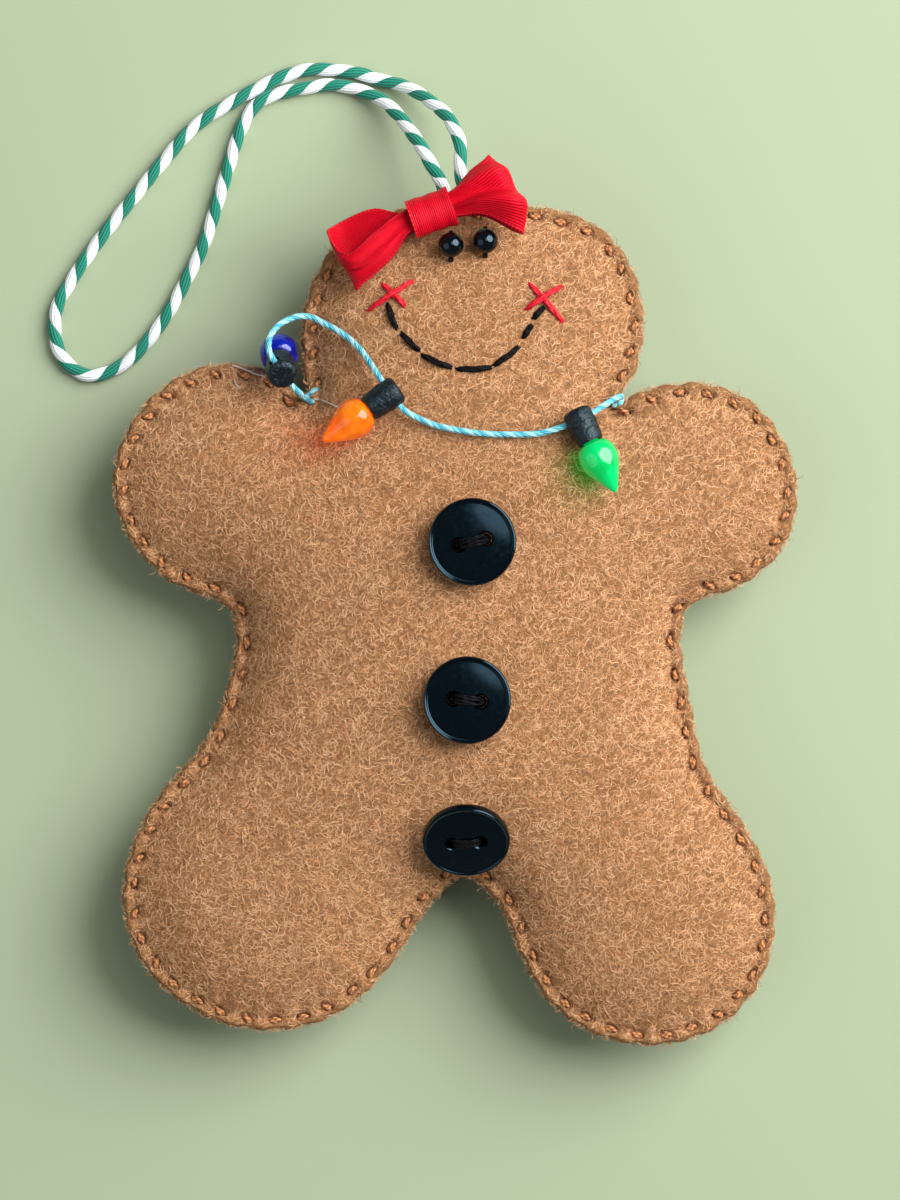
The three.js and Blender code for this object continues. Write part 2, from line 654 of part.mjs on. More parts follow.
// The thread comes up through one hole, over the bridge and down the other
function buttonThread(drop) {
  const half = buttonHoleSpacing / 2;
  const spring = buttonThickness * bridgeShare;
  const crest = buttonThreadDiameter / 2 + pieceGap;
  const points = [new THREE.Vector3(-half, 0, -drop), new THREE.Vector3(-half, 0, -drop / 2)];
  for (const turn of [180, 150, 120, 90, 60, 30, 0]) {
    const angle = degrees(turn);
    points.push(new THREE.Vector3(Math.cos(angle) * half, 0, spring + Math.sin(angle) * crest));
  }
  points.push(new THREE.Vector3(half, 0, -drop / 2), new THREE.Vector3(half, 0, -drop));
  return tube(points, buttonThreadDiameter, threadSides, 14);
}

function onFelt(at, reach = 0) {
  return seamHeight + heightAround(frontPoints, at.x, at.y, reach);
}

// A button lies over the felt by its shank, and a tipped one stays clear of it at both edges
const rimCount = 16;

function buttonSeat(at, lean) {
  let seat = onFelt(at) + buttonShank;
  for (const [radiusShare, heightShare] of buttonShares.slice(1, 4)) {
    for (let step = 0; step < rimCount; step += 1) {
      const angle = (step / rimCount) * Math.PI * 2;
      const x = (Math.cos(angle) * radiusShare * buttonDiameter) / 2;
      const y = (Math.sin(angle) * radiusShare * buttonDiameter) / 2;
      const z = heightShare * buttonThickness;
      const under = new THREE.Vector3(x, y, z).applyAxisAngle(new THREE.Vector3(1, 0, 0), lean);
      seat = Math.max(seat, onFelt({ x: at.x + under.x, y: at.y + under.y }) - under.z + pieceGap);
    }
  }
  return seat;
}

for (const button of buttonPlaces) {
  const at = place(button.pixel);
  const lean = degrees(button.tip);
  const seat = buttonSeat(at, lean);
  const holder = new THREE.Group();
  holder.position.set(at.x, at.y, seat);
  holder.rotation.set(lean, 0, degrees(button.holeTurn), "XYZ");
  ornament.add(holder);
  const drop = seat - onFelt(at) - pieceGap;
  addPiece(`button_${button.name}`, buttonGeometry(), finishes.button, holder);
  addPiece(`button_thread_${button.name}`, buttonThread(drop), finishes.blackThread, holder);
}

// Eyes: a bead with its bore along the figure, and the thread that goes through it into the felt
function beadGeometry() {
  const radius = beadDiameter / 2;
  const open = Math.asin(beadBore / beadDiameter);
  const profile = [];
  const stepCount = 8;
  for (let step = 0; step <= stepCount; step += 1) {
    const angle = THREE.MathUtils.lerp(open, Math.PI - open, step / stepCount);
    profile.push([Math.sin(angle) * radius, -Math.cos(angle) * radius]);
  }
  profile.push(profile[0]);
  return lathe(profile, 14);
}

// Half of its way, as shares of how far it reaches out of the bead, and the share at its foot
const beadThreadShares = [[0.41, 0], [0.92, -0.06], [1, -0.4]];
const beadFootShare = 0.97;

function beadThread() {
  const radius = beadDiameter / 2;
  const out = radius + beadThreadDiameter / 2 + stitchClearance;
  const foot = stitchClearance + beadThreadDiameter - radius - pieceGap;
  const half = beadThreadShares.map(([along, z]) => [along * out, z * out]);
  half.push([beadFootShare * out, foot]);
  const points = half.map(([along, z]) => new THREE.Vector3(0, along, z));
  const mirrored = half.map(([along, z]) => new THREE.Vector3(0, -along, z)).reverse();
  return tube([...mirrored, ...points], beadThreadDiameter, threadSides, 12);
}

for (const [side, pixel] of Object.entries(eyePixels)) {
  const at = place(pixel);
  const holder = new THREE.Group();
  holder.position.set(at.x, at.y, onFelt(at, beadDiameter / 4) + beadDiameter / 2 + pieceGap);
  ornament.add(holder);
  addPiece(`eye_bead_${side}`, beadGeometry(), finishes.bead, holder);
  addPiece(`eye_thread_${side}`, beadThread(), finishes.blackThread, holder);
}

// A stitch lies on the felt from one place to another, a little higher in its middle
function stitch([from, to], diameter, rise = 0) {
  const [start, end] = [place(from), place(to)];
  const points = [];
  const stepCount = 4;
  for (let step = 0; step <= stepCount; step += 1) {
    const at = start.clone().lerp(end, step / stepCount);
    const arch = Math.sin((step / stepCount) * Math.PI);
    const lift = diameter / 2 + stitchClearance * (1 + arch) + rise * arch;
    points.push(new THREE.Vector3(at.x, at.y, onFelt(at, diameter / 2) + lift));
  }
  return tube(points, diameter, threadSides, stepCount);
}

smilePixels.forEach((ends, index) => {
  addPiece(`smile_stitch_${index + 1}`, stitch(ends, smileThreadDiameter), finishes.blackThread);
});
for (const [side, [under, over]] of Object.entries(cheekPixels)) {
  const cross = cheekThreadDiameter + stitchClearance * 2;
  addPiece(`cheek_${side}_stitch_under`, stitch(under, cheekThreadDiameter), finishes.redThread);
  addPiece(`cheek_${side}_stitch_over`, stitch(over, cheekThreadDiameter, cross), finishes.redThread);
}

// Bow: one ribbon in a closed strip of two loops, and a band round its middle
function ribbonGeometry() {
  const acrossCount = ribbonShares[0].length;
  const alongCount = ribbonShares.length * 2;
  const curves = [];
  for (let across = 0; across < acrossCount; across += 1) {
    const line = ribbonShares.map((station) => {
      const [x, y, z] = station[across];
      return new THREE.Vector3(x * bowLength, y * ribbonWidth, z * bowDepth);
    });
    curves.push(new THREE.CatmullRomCurve3(line, true, "centripetal"));
  }
  const middle = [];
  for (let along = 0; along < alongCount; along += 1) {
    for (const curve of curves) middle.push(curve.getPoint(along / alongCount));
  }
  const faces = [];
  for (let along = 0; along < alongCount; along += 1) {
    const next = ((along + 1) % alongCount) * acrossCount;
    for (let across = 0; across < acrossCount - 1; across += 1) {
      const at = along * acrossCount + across;
      faces.push([at, at + 1, next + across + 1], [at, next + across + 1, next + across]);
    }
  }
  const normals = indexedGeometry(middle, faces).attributes.normal;
  const shifted = (distance) => middle.map((point, index) => {
    return point.clone().addScaledVector(new THREE.Vector3().fromBufferAttribute(normals, index), distance);
  });
  const points = [...shifted(ribbonThickness / 2), ...shifted(-ribbonThickness / 2)];
  const count = middle.length;
  const closed = [...faces, ...faces.map(([a, b, c]) => [a + count, c + count, b + count])];
  for (let along = 0; along < alongCount; along += 1) {
    const near = along * acrossCount;
    const nextNear = ((along + 1) % alongCount) * acrossCount;
    const far = near + acrossCount - 1;
    const nextFar = nextNear + acrossCount - 1;
    closed.push([near, nextNear, nextNear + count], [near, nextNear + count, near + count]);
    closed.push([far, nextFar + count, nextFar], [far, far + count, nextFar + count]);
  }
  return indexedGeometry(points, closed);
}

function wrapGeometry() {
  const outer = new THREE.Shape();
  outer.absellipse(0, 0, wrapWidth / 2, wrapDepth / 2, 0, Math.PI * 2);
  const hole = new THREE.Path();
  hole.absellipse(0, 0, wrapWidth / 2 - wrapThickness, wrapDepth / 2 - wrapThickness, 0, Math.PI * 2);
  outer.holes.push(hole);
  const band = new THREE.ExtrudeGeometry(outer, { depth: wrapLength, bevelEnabled: false, curveSegments: 9 });
  band.translate(0, 0, -wrapLength / 2);
  band.rotateY(Math.PI / 2);
  band.rotateX(Math.PI / 2);
  return band.translate(0, 0, wrapDepth / 2);
}

const bow = new THREE.Group();
const bowPlace = place(bowPixel);
bow.position.set(bowPlace.x, bowPlace.y, bowHeight);
bow.rotation.set(degrees(bowTilt), 0, degrees(bowTurn), "ZXY");
ornament.add(bow);
addPiece("bow_ribbon", ribbonGeometry(), finishes.ribbon, bow);
addPiece("bow_wrap", wrapGeometry(), finishes.ribbon, bow);

// Garland: bulbs in sockets, each with a cross bore for the cord near its outer end
const socketShares = [[0, 0], [0.74, 0], [0.92, 0.06], [1, 0.2], [1, 0.45], [0.91, 0.84], [0.82, 1], [0, 1]];
const bulbShares = [
  [0, 0], [0.42, 0], [0.42, 0.17], [0.72, 0.21], [0.93, 0.3], [1, 0.41], [0.96, 0.51], [0.8, 0.63],
  [0.56, 0.77], [0.3, 0.91], [0.13, 0.98], [0, 1],
];

function socketGeometry() {
  const profile = socketShares.map(([r, along]) => [(r * socketDiameter) / 2, along * socketLength]);
  const cupRadius = socketDiameter / 2 - socketWall;
  const cup = new THREE.CylinderGeometry(cupRadius, cupRadius, socketCupDepth + cutOverrun, 12);
  cup.translate(0, socketLength + (cutOverrun - socketCupDepth) / 2, 0);
  const bore = new THREE.CylinderGeometry(socketBore / 2, socketBore / 2, socketDiameter + cutOverrun, 8);
  bore.rotateZ(Math.PI / 2);
  bore.translate(0, socketCordInset, 0);
  const body = solidOf(lathe(profile, 14));
  return geometryOf(body.subtract(solidOf(cup)).subtract(solidOf(bore)));
}

function bulbGeometry() {
  const neckRadius = socketDiameter / 2 - socketWall - pieceGap;
  const whole = bulbLength + bulbNeckLength;
  const profile = bulbShares.map(([r, along]) => {
    const isNeck = along * whole <= bulbNeckLength;
    return [isNeck && r > 0 ? neckRadius : (r * bulbDiameter) / 2, along * whole];
  });
  return lathe(profile, 14);
}

// A bulb that lies on the felt rests on its socket's end, and its tip is as low as its body allows
function lyingHeights(start, end) {
  const whole = socketLength + bulbLength;
  const startHeight = onFelt(start, socketDiameter / 4) + socketDiameter / 2 + pieceGap;
  let endHeight = 0;
  for (const [radiusShare, alongShare] of bulbShares.slice(3)) {
    const share = (socketLength - bulbNeckLength + alongShare * (bulbLength + bulbNeckLength)) / whole;
    const at = start.clone().lerp(end, share);
    const radius = (radiusShare * bulbDiameter) / 2;
    const needed = onFelt(at, radius / 2) + radius + pieceGap;
    endHeight = Math.max(endHeight, startHeight + (needed - startHeight) / share);
  }
  return [startHeight, endHeight];
}

for (const bulb of bulbPlaces) {
  const [start, end] = [place(bulb.from), place(bulb.to)];
  const hanging = bulb.hangShares?.map((share) => share * bodyThickness);
  const [startHeight, endHeight] = hanging ?? lyingHeights(start, end);
  const from = new THREE.Vector3(start.x, start.y, startHeight);
  const along = new THREE.Vector3(end.x, end.y, endHeight).sub(from).normalize();
  const across = new THREE.Vector3(...bulb.cordShares);
  across.addScaledVector(along, -across.dot(along)).normalize();
  const holder = new THREE.Group();
  holder.position.copy(from);
  const basis = new THREE.Matrix4().makeBasis(across, along, new THREE.Vector3().crossVectors(across, along));
  holder.quaternion.setFromRotationMatrix(basis);
  ornament.add(holder);
  addPiece(`socket_${bulb.name}`, socketGeometry(), finishes.socket, holder);
  const glass = addPiece(`bulb_${bulb.name}`, bulbGeometry(), finishes[bulb.name], holder);
  glass.position.y = socketLength - bulbNeckLength;
}

const garlandSteps = 40;
const garlandTube = tube(vectors(garlandRoute), garlandDiameter, cordSides, garlandSteps);
addPiece("garland_cord", garlandTube, finishes.garlandCord);

// The garland's end knots sit on the edge of the felt, clear of the seam thread
for (const [side, pixel] of Object.entries(garlandKnotPixels)) {
  const at = place(pixel);
  const radius = garlandKnotDiameter / 2;
  const ball = new THREE.SphereGeometry(radius, 10, 6);
  const knot = addPiece(`garland_knot_${side}`, ball, finishes.garlandCord);
  const flange = seamHeight + pieceGap / 2 + feltThickness;
  knot.position.set(at.x, at.y, flange + seamThreadDiameter + radius);
}

// Hanging loop, with a round end at each place where it turns out of the seam
const hangingSteps = 52;
let hangingSolid = solidOf(tube(vectors(hangingRoute), cordDiameter, cordSides, hangingSteps));
for (const end of [hangingRoute[0], hangingRoute[hangingRoute.length - 1]]) {
  hangingSolid = hangingSolid.add(solidOf(new THREE.SphereGeometry(cordDiameter / 2, 8, 6)).translate(end));
}
addPiece("hanging_loop", geometryOf(hangingSolid), finishes.hangingCord);

export default ornament;
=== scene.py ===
import json
import math

import bpy
import numpy as np
from mathutils import Matrix, Vector
from mathutils.bvhtree import BVHTree
from mathutils.geometry import delaunay_2d_cdt


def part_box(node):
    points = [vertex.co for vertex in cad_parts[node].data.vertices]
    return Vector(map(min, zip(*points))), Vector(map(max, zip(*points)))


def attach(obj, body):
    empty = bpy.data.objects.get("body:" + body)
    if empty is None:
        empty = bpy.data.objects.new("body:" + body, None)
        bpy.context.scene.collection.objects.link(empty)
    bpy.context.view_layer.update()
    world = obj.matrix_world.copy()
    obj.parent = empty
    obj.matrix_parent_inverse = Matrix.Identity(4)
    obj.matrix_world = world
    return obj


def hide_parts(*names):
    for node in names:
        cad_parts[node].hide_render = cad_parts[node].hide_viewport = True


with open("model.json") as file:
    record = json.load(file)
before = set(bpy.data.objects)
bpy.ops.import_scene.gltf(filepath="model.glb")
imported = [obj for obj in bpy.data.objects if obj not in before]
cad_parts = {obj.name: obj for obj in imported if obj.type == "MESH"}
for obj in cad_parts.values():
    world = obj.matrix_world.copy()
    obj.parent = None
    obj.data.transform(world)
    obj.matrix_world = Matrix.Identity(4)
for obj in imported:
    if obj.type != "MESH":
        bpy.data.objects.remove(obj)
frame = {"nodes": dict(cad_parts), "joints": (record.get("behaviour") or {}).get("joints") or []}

# The looks of a felt christmas ornament: a stuffed gingerbread figure that lies on its back. Metres,
# with X to the right, Y towards the head and Z out of the front. Pixels are those of the photograph.
MM = 0.001
PIXEL = 0.0001462
PHOTO_SIZE = (900, 1200)
FIGURE_CENTRE = (455.5, 625)
FULL_TURN = 2 * math.pi

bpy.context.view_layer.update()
random = np.random.default_rng(7)


def box_of(node):
    return [np.array(corner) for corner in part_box(node)]


def middle_of(node):
    return sum(box_of(node)) / 2


SEAM_HEIGHT = (box_of("front_panel")[0][2] + box_of("back_panel")[1][2]) / 2
FRONT_RISE = box_of("front_panel")[1][2] - SEAM_HEIGHT
BACK_RISE = SEAM_HEIGHT - box_of("back_panel")[0][2]


def place(pixel):
    """A point of the photograph as x and y in metres."""
    x = (pixel[0] - FIGURE_CENTRE[0]) * PIXEL
    y = (FIGURE_CENTRE[1] - pixel[1]) * PIXEL
    return np.array((x, y))


def add_object(name, data):
    made = bpy.data.objects.new(name, data)
    bpy.context.collection.objects.link(made)
    return made


# Camera: straight above, with the photograph's frame on the seam's plane
LENS = 200
SENSOR = 36


def make_camera():
    data = bpy.data.cameras.new("camera")
    data.lens = LENS
    data.sensor_width = SENSOR
    camera = add_object("camera", data)
    x, y = place((PHOTO_SIZE[0] / 2, PHOTO_SIZE[1] / 2))
    camera.location = (x, y, SEAM_HEIGHT + PHOTO_SIZE[1] * PIXEL * LENS / SENSOR)
    bpy.context.scene.camera = camera


# Meshes from arrays


def mesh_of(name, points, blocks, lay=None):
    """A smooth mesh from points and blocks of faces; lay is each corner's place on the surface."""
    mesh = bpy.data.meshes.new(name)
    sizes = np.concatenate([np.full(len(block), block.shape[1]) for block in blocks])
    corners = np.concatenate([block.ravel() for block in blocks])
    mesh.vertices.add(len(points))
    mesh.vertices.foreach_set("co", np.asarray(points, np.float32).ravel())
    mesh.loops.add(len(corners))
    mesh.loops.foreach_set("vertex_index", corners.astype(np.int32))
    mesh.polygons.add(len(sizes))
    mesh.polygons.foreach_set("loop_start", (np.cumsum(sizes) - sizes).astype(np.int32))
    mesh.polygons.foreach_set("use_smooth", np.ones(len(sizes), bool))
    if lay is not None:
        mesh.uv_layers.new(name="lay").uv.foreach_set("vector", np.asarray(lay, np.float32).ravel())
    mesh.update(calc_edges=True)
    mesh.validate()
    return mesh


def add_piece(name, mesh, body, materials, node=None):
    """A piece that rides on a body and is dressed in the given materials; it stands for the node, where one
    is given.
    """
    piece = add_object(name, mesh)
    for material in materials:
        mesh.materials.append(material)
    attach(piece, body)
    if node:
        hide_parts(node)
    return piece


class Form:
    """Points, faces, places on the surface and material numbers, gathered for one mesh."""

    def __init__(self):
        self.points, self.blocks, self.lays, self.slots = [], [], [], []
        self.count = 0

    def add(self, points, faces, lay, slot=0):
        self.points.append(points.reshape(-1, 3))
        self.blocks.append(faces + self.count)
        self.lays.append(lay)
        self.slots.append(np.broadcast_to(slot, len(faces)))
        self.count += len(self.points[-1])

    def mesh(self, name):
        mesh = mesh_of(name, np.concatenate(self.points), self.blocks, np.concatenate(self.lays))
        mesh.polygons.foreach_set("material_index", np.concatenate(self.slots).astype(np.int32))
        return mesh


TINY = 1e-12
CURVE_STEPS = 24


def unit(vectors):
    return vectors / np.maximum(np.linalg.norm(vectors, axis=-1, keepdims=True), TINY)


def step_lengths(line):
    return np.linalg.norm(np.diff(line, axis=0), axis=1)


def line_length(line):
    return float(step_lengths(line).sum())


def ways_along(line):
    """How far each point lies along a line."""
    return np.concatenate([[0], np.cumsum(step_lengths(line))])


def smooth_line(points, count, closed=False):
    """count points at even steps on a centripetal Catmull-Rom curve through the given ones."""
    given = np.asarray(points, float)
    if closed:
        ends = np.vstack([given[-1:], given, given[:2]])
    else:
        ends = np.vstack([2 * given[:1] - given[1:2], given, 2 * given[-1:] - given[-2:-1]])
    runs = []
    for a, b, c, d in zip(ends, ends[1:], ends[2:], ends[3:]):
        gaps = [np.linalg.norm(q - p) ** 0.5 for p, q in ((a, b), (b, c), (c, d))]
        k0, k1, k2, k3 = np.cumsum([0, *gaps])
        t = np.linspace(k1, k2, CURVE_STEPS, endpoint=False)[:, None]
        ab = (a * (k1 - t) + b * (t - k0)) / (k1 - k0)
        bc = (b * (k2 - t) + c * (t - k1)) / (k2 - k1)
        cd = (c * (k3 - t) + d * (t - k2)) / (k3 - k2)
        abc = (ab * (k2 - t) + bc * (t - k0)) / (k2 - k0)
        bcd = (bc * (k3 - t) + cd * (t - k1)) / (k3 - k1)
        runs.append((abc * (k2 - t) + bcd * (t - k1)) / (k2 - k1))
    line = np.vstack([*runs, ends[1:2] if closed else ends[-2:-1]])
    along = ways_along(line)
    wanted = np.linspace(0, along[-1], count, endpoint=not closed)
    return np.stack([np.interp(wanted, along, axis) for axis in line.T], axis=1)


def frames_along(path):
    """The tangents of a path and two normals that turn no more than the path does."""
    tangents = unit(np.gradient(path, axis=0))
    normal = np.cross(tangents[0], (0, 0, 1))
    if np.linalg.norm(normal) < 0.1:
        normal = np.cross(tangents[0], (1, 0, 0))
    normals = []
    for tangent in tangents:
        normal = unit(normal - tangent * (normal @ tangent))
        normals.append(normal)
    normals = np.array(normals)
    return tangents, normals, np.cross(tangents, normals)


def rings_round(normals, binormals, angles):
    """For each point of a path, the directions at some angles round it."""
    return normals[:, None] * np.cos(angles)[..., None] + binormals[:, None] * np.sin(angles)[..., None]


def grid_faces(rows, columns, wrapped):
    """Quads between rows of points; wrapped joins the last column to the first."""
    row, column = np.mgrid[0 : rows - 1, 0 : columns if wrapped else columns - 1]
    here, after = row * columns + column, row * columns + (column + 1) % columns
    return np.stack([here, after, after + columns, here + columns], -1).reshape(-1, 4)


def grid_lay(rows, columns, wrapped, across, along):
    """Each corner's place for the faces of grid_faces: across a row, and along the rows."""
    width = columns if wrapped else columns - 1
    row, column = np.mgrid[0 : rows - 1, 0:width]
    us = np.stack([column, column + 1, column + 1, column], -1) * across / width
    vs = np.stack([row, row, row + 1, row + 1], -1) * along / (rows - 1)
    return np.stack([us, vs], -1).reshape(-1, 2)


# The round end of a tube: how far its rings are from the path's end and how wide they are, as shares
# of the radius
TUBE_END_REACHES = np.array([[1], [0.7]])
TUBE_END_WIDTHS = np.array([0.05, 0.7])


def tube(form, path, radius, sides):
    """Adds a tube with round ends to a form: radius is one number or one for each point of the path."""
    radii = np.broadcast_to(np.asarray(radius, float), (len(path),))
    head = path[0] - unit(path[1] - path[0]) * radii[0] * TUBE_END_REACHES
    tail = path[-1] + unit(path[-1] - path[-2]) * radii[-1] * TUBE_END_REACHES[::-1]
    path = np.vstack([head, path, tail])
    radii = np.concatenate([radii[0] * TUBE_END_WIDTHS, radii, radii[-1] * TUBE_END_WIDTHS[::-1]])
    _, normals, binormals = frames_along(path)
    ring = rings_round(normals, binormals, np.arange(sides) * FULL_TURN / sides)
    lay = grid_lay(len(path), sides, True, 1, line_length(path) / MM)
    form.add(path[:, None] + ring * radii[:, None, None], grid_faces(len(path), sides, True), lay)


def twisted(path, pitch, reach, turn):
    """The line of one strand that winds round a path at a given reach."""
    _, normals, binormals = frames_along(path)
    angles = (turn + FULL_TURN * ways_along(path) / pitch)[:, None]
    return path + (normals * np.cos(angles) + binormals * np.sin(angles)) * reach


# The round end of a cord, in the same way, and how round each ply is: lower is rounder
CORD_END_REACHES = np.array((1, 0.87, 0.5))
CORD_END_WIDTHS = (0.04, 0.5, 0.87)
PLY_ROUNDNESS = 0.55


def wound_cord(form, path, radius, plies, sides, pitch, hand, groove):
    """A cord of plies laid round each other: one tube with a groove between each two plies, which
    winds along it, by the hand 1 or -1. Each ply has a material of its own, and both ends are round."""
    tangents, normals, binormals = frames_along(path)
    reaches = CORD_END_REACHES * radius
    heads = path[0] - tangents[0] * reaches[:, None]
    tails = path[-1] + tangents[-1] * reaches[::-1, None]
    along = ways_along(path)
    along = np.concatenate([-reaches, along, along[-1] + reaches[::-1]])
    rows = np.vstack([heads, path, tails])
    repeats = [1 + len(reaches), *[1] * (len(path) - 2), 1 + len(reaches)]
    normals, binormals = (np.repeat(given, repeats, axis=0) for given in (normals, binormals))
    widths = np.concatenate([CORD_END_WIDTHS, np.ones(len(path)), CORD_END_WIDTHS[::-1]])
    column = np.arange(sides) * 2 * np.pi / sides
    section = radius * (1 - groove + groove * np.abs(np.sin(column * plies / 2)) ** PLY_ROUNDNESS)
    ring = rings_round(normals, binormals, column[None] + (hand * FULL_TURN * along / pitch)[:, None])
    points = rows[:, None] + ring * (section[None] * widths[:, None])[..., None]
    faces = grid_faces(len(rows), sides, True)
    lay = grid_lay(len(rows), sides, True, plies, along[-1] / MM)
    form.add(points, faces, lay, (np.arange(len(faces)) % sides) * plies // sides)


def lathe(profile, segments, lids=True):
    """A surface turned round the local Z axis from (radius, height) points: its points and its blocks
    of faces, with a lid on each end."""
    angles = np.arange(segments) * 2 * np.pi / segments
    profile = np.asarray(profile, float)
    ring = np.stack([np.cos(angles), np.sin(angles), np.zeros(segments)], -1)
    points = profile[:, :1, None] * ring + profile[:, 1:, None] * np.array((0, 0, 1))
    first = np.arange(segments)[None]
    last = first + (len(profile) - 1) * segments
    blocks = [grid_faces(len(profile), segments, True), first[:, ::-1], last]
    return points.reshape(-1, 3), blocks if lids else blocks[:1]


def sized(shares, radius, length):
    """A lathe's profile from its shares."""
    return [(share * radius, height * length) for share, height in shares]


def moved(mesh, matrix):
    mesh.transform(matrix)
    mesh.update()
    return mesh


def cut_away(mesh, cutters, degrees):
    """The mesh less the cutters, all of them closed, with sharp edges past an angle."""
    piece = add_object("cut", mesh)
    helpers = [add_object("cutter", cutter) for cutter in cutters]
    for helper in helpers:
        modifier = piece.modifiers.new("cut", "BOOLEAN")
        modifier.object = helper
        modifier.solver = "EXACT"
    evaluated = piece.evaluated_get(bpy.context.evaluated_depsgraph_get())
    result = bpy.data.meshes.new_from_object(evaluated)
    for helper in [piece, *helpers]:
        bpy.data.objects.remove(helper)
    return round_off(result, degrees)


def round_off(mesh, degrees):
    """Smooth faces, with sharp edges past an angle."""
    mesh.shade_smooth()
    mesh.set_sharp_from_angle(angle=math.radians(degrees))
    return mesh


# Materials


def rgb(code):
    """A colour written as on a screen, as linear light."""
    parts = [int(code[index : index + 2], 16) / 255 for index in (1, 3, 5)]
    return [part / 12.92 if part <= 0.04045 else ((part + 0.055) / 1.055) ** 2.4 for part in parts]


class Shader:
    """A material with one Principled shader, and short calls for the nodes that feed it. A value is a
    number, a vector, a colour's code or another node's output."""

    def __init__(self, name, colour, roughness, **settings):
        self.material = bpy.data.materials.new(name)
        self.material.use_nodes = True
        self.tree = self.material.node_tree
        self.shader = self.tree.nodes["Principled BSDF"]
        self.set("Base Color", colour)
        self.set("Roughness", roughness)
        for key, value in settings.items():
            self.set(key.replace("_", " ").title().replace("Ior", "IOR"), value)

    def feed(self, socket, value):
        if isinstance(value, bpy.types.NodeSocket):
            self.tree.links.new(value, socket)
        else:
            socket.default_value = (*rgb(value), 1) if isinstance(value, str) else value

    def set(self, name, value):
        self.feed(self.shader.inputs[name], value)

    def node(self, kind, inputs, output=0, **options):
        made = self.tree.nodes.new(kind)
        for key, value in options.items():
            setattr(made, key, value)
        for key, value in inputs.items():
            self.feed(made.inputs[key], value)
        return made.outputs[output]

    def math(self, operation, a, b=0.0):
        return self.node("ShaderNodeMath", {0: a, 1: b}, operation=operation)

    def times(self, a, b):
        return self.math("MULTIPLY", a, b)

    def plus(self, a, b):
        return self.math("ADD", a, b)

    def wave(self, value, turns):
        return self.math("SINE", self.times(value, FULL_TURN * turns))

    def vector(self, operation, a, b):
        return self.node("ShaderNodeVectorMath", {0: a, 1: b}, operation=operation)

    def place(self):
        """The place on the piece in millimetres."""
        spot = self.node("ShaderNodeTexCoord", {}, "Object")
        return self.vector("MULTIPLY", spot, (1 / MM, 1 / MM, 1 / MM))

    def lay(self):
        """The place on the surface: across it and along it."""
        given = self.node("ShaderNodeTexCoord", {}, "UV")
        parts = self.node("ShaderNodeSeparateXYZ", {0: given})
        return parts.node.outputs[0], parts.node.outputs[1]

    def noise(self, at, scale, detail=2.0, output=0, distortion=0.0):
        values = {"Vector": at, "Scale": scale, "Detail": detail, "Distortion": distortion}
        return self.node("ShaderNodeTexNoise", values, output)

    def band(self, value, low, high):
        """0 below low and 1 above high."""
        values = {"Value": value, "From Min": low, "From Max": high}
        return self.node("ShaderNodeMapRange", values, interpolation_type="SMOOTHSTEP")

    def mix(self, share, first, second):
        return self.node("ShaderNodeMix", {0: share, 6: first, 7: second}, 2, data_type="RGBA")

    def bump(self, height, strength, distance):
        """Relief, with its depth in millimetres."""
        values = {"Height": height, "Strength": strength, "Distance": distance * MM}
        self.set("Normal", self.node("ShaderNodeBump", values))


def felt_material(name, base, light, dark, hole_shade=None):
    """Wool felt: layers of curly fibre lines with dark pits between them, the raised lines painted lighter
    and the pits and low places painted darker, as light and shade. The last colour is the painted shade
    in and round the stitch holes, whose shares the surface's lay holds."""
    look = Shader(name, base, 0.95, sheen_weight=0.2, sheen_roughness=0.6, specular_ior_level=0.12)
    look.set("Sheen Tint", light)
    at = look.place()
    swirl = look.vector("SUBTRACT", look.noise(at, 0.9, 1.5, 1), (0.5, 0.5, 0.5))
    curled = look.vector("ADD", at, look.vector("MULTIPLY", swirl, (2.8, 2.8, 2.8)))
    lines = None
    for turn, scale in ((0.3, 1.5), (1.4, 1.3), (2.5, 1.7)):
        axis = {"Vector": curled, "Axis": (0, 0, 1), "Angle": turn}
        turned = look.node("ShaderNodeVectorRotate", axis)
        wave = {"Vector": turned, "Scale": scale, "Distortion": 9.0, "Detail": 2.0, "Detail Scale": 1.6}
        wave["Phase Offset"] = turn * 7
        ridge = look.node("ShaderNodeTexWave", wave, 1, wave_type="BANDS", bands_direction="X")
        thin = look.band(ridge, 0.6, 1.0)
        shown = look.band(look.noise(look.vector("ADD", at, (turn * 9, 0, 0)), 1.2, 1.0), 0.4, 0.58)
        layer = look.times(thin, shown)
        lines = layer if lines is None else look.math("MAXIMUM", lines, layer)
    fine = look.noise(curled, 4.5, 3.0)
    height = look.plus(look.times(lines, 0.8), look.times(fine, 1.0))
    # Painted shade and light that follow the relief: the pits between the fibres and the low places of the
    # fine relief take the dark colour, and the raised fibre lines take the light one. The broad noise is
    # tone that differs at random.
    pits = look.band(look.noise(at, 2.4, 2.0), 0.55, 0.68)
    broad = look.noise(at, 0.07, 2.0)
    ground = look.mix(look.band(fine, 0.36, 0.6), dark, base)
    ground = look.mix(look.times(pits, 0.7), ground, dark)
    shaded = look.mix(look.times(lines, 0.7), ground, light)
    shaded = look.mix(look.band(broad, 0.3, 0.75), shaded, look.mix(0.86, dark, shaded))
    # Painted shade: a little along the seam's groove, and the last colour in and round the stitch holes.
    if hole_shade is not None:
        holes, groove = look.lay()
        shaded = look.mix(look.times(groove, 0.2), shaded, dark)
        shaded = look.mix(look.band(holes, 0.12, 0.8), shaded, hole_shade)
    look.set("Base Color", shaded)
    look.bump(height, 1.0, 0.28)
    return look.material


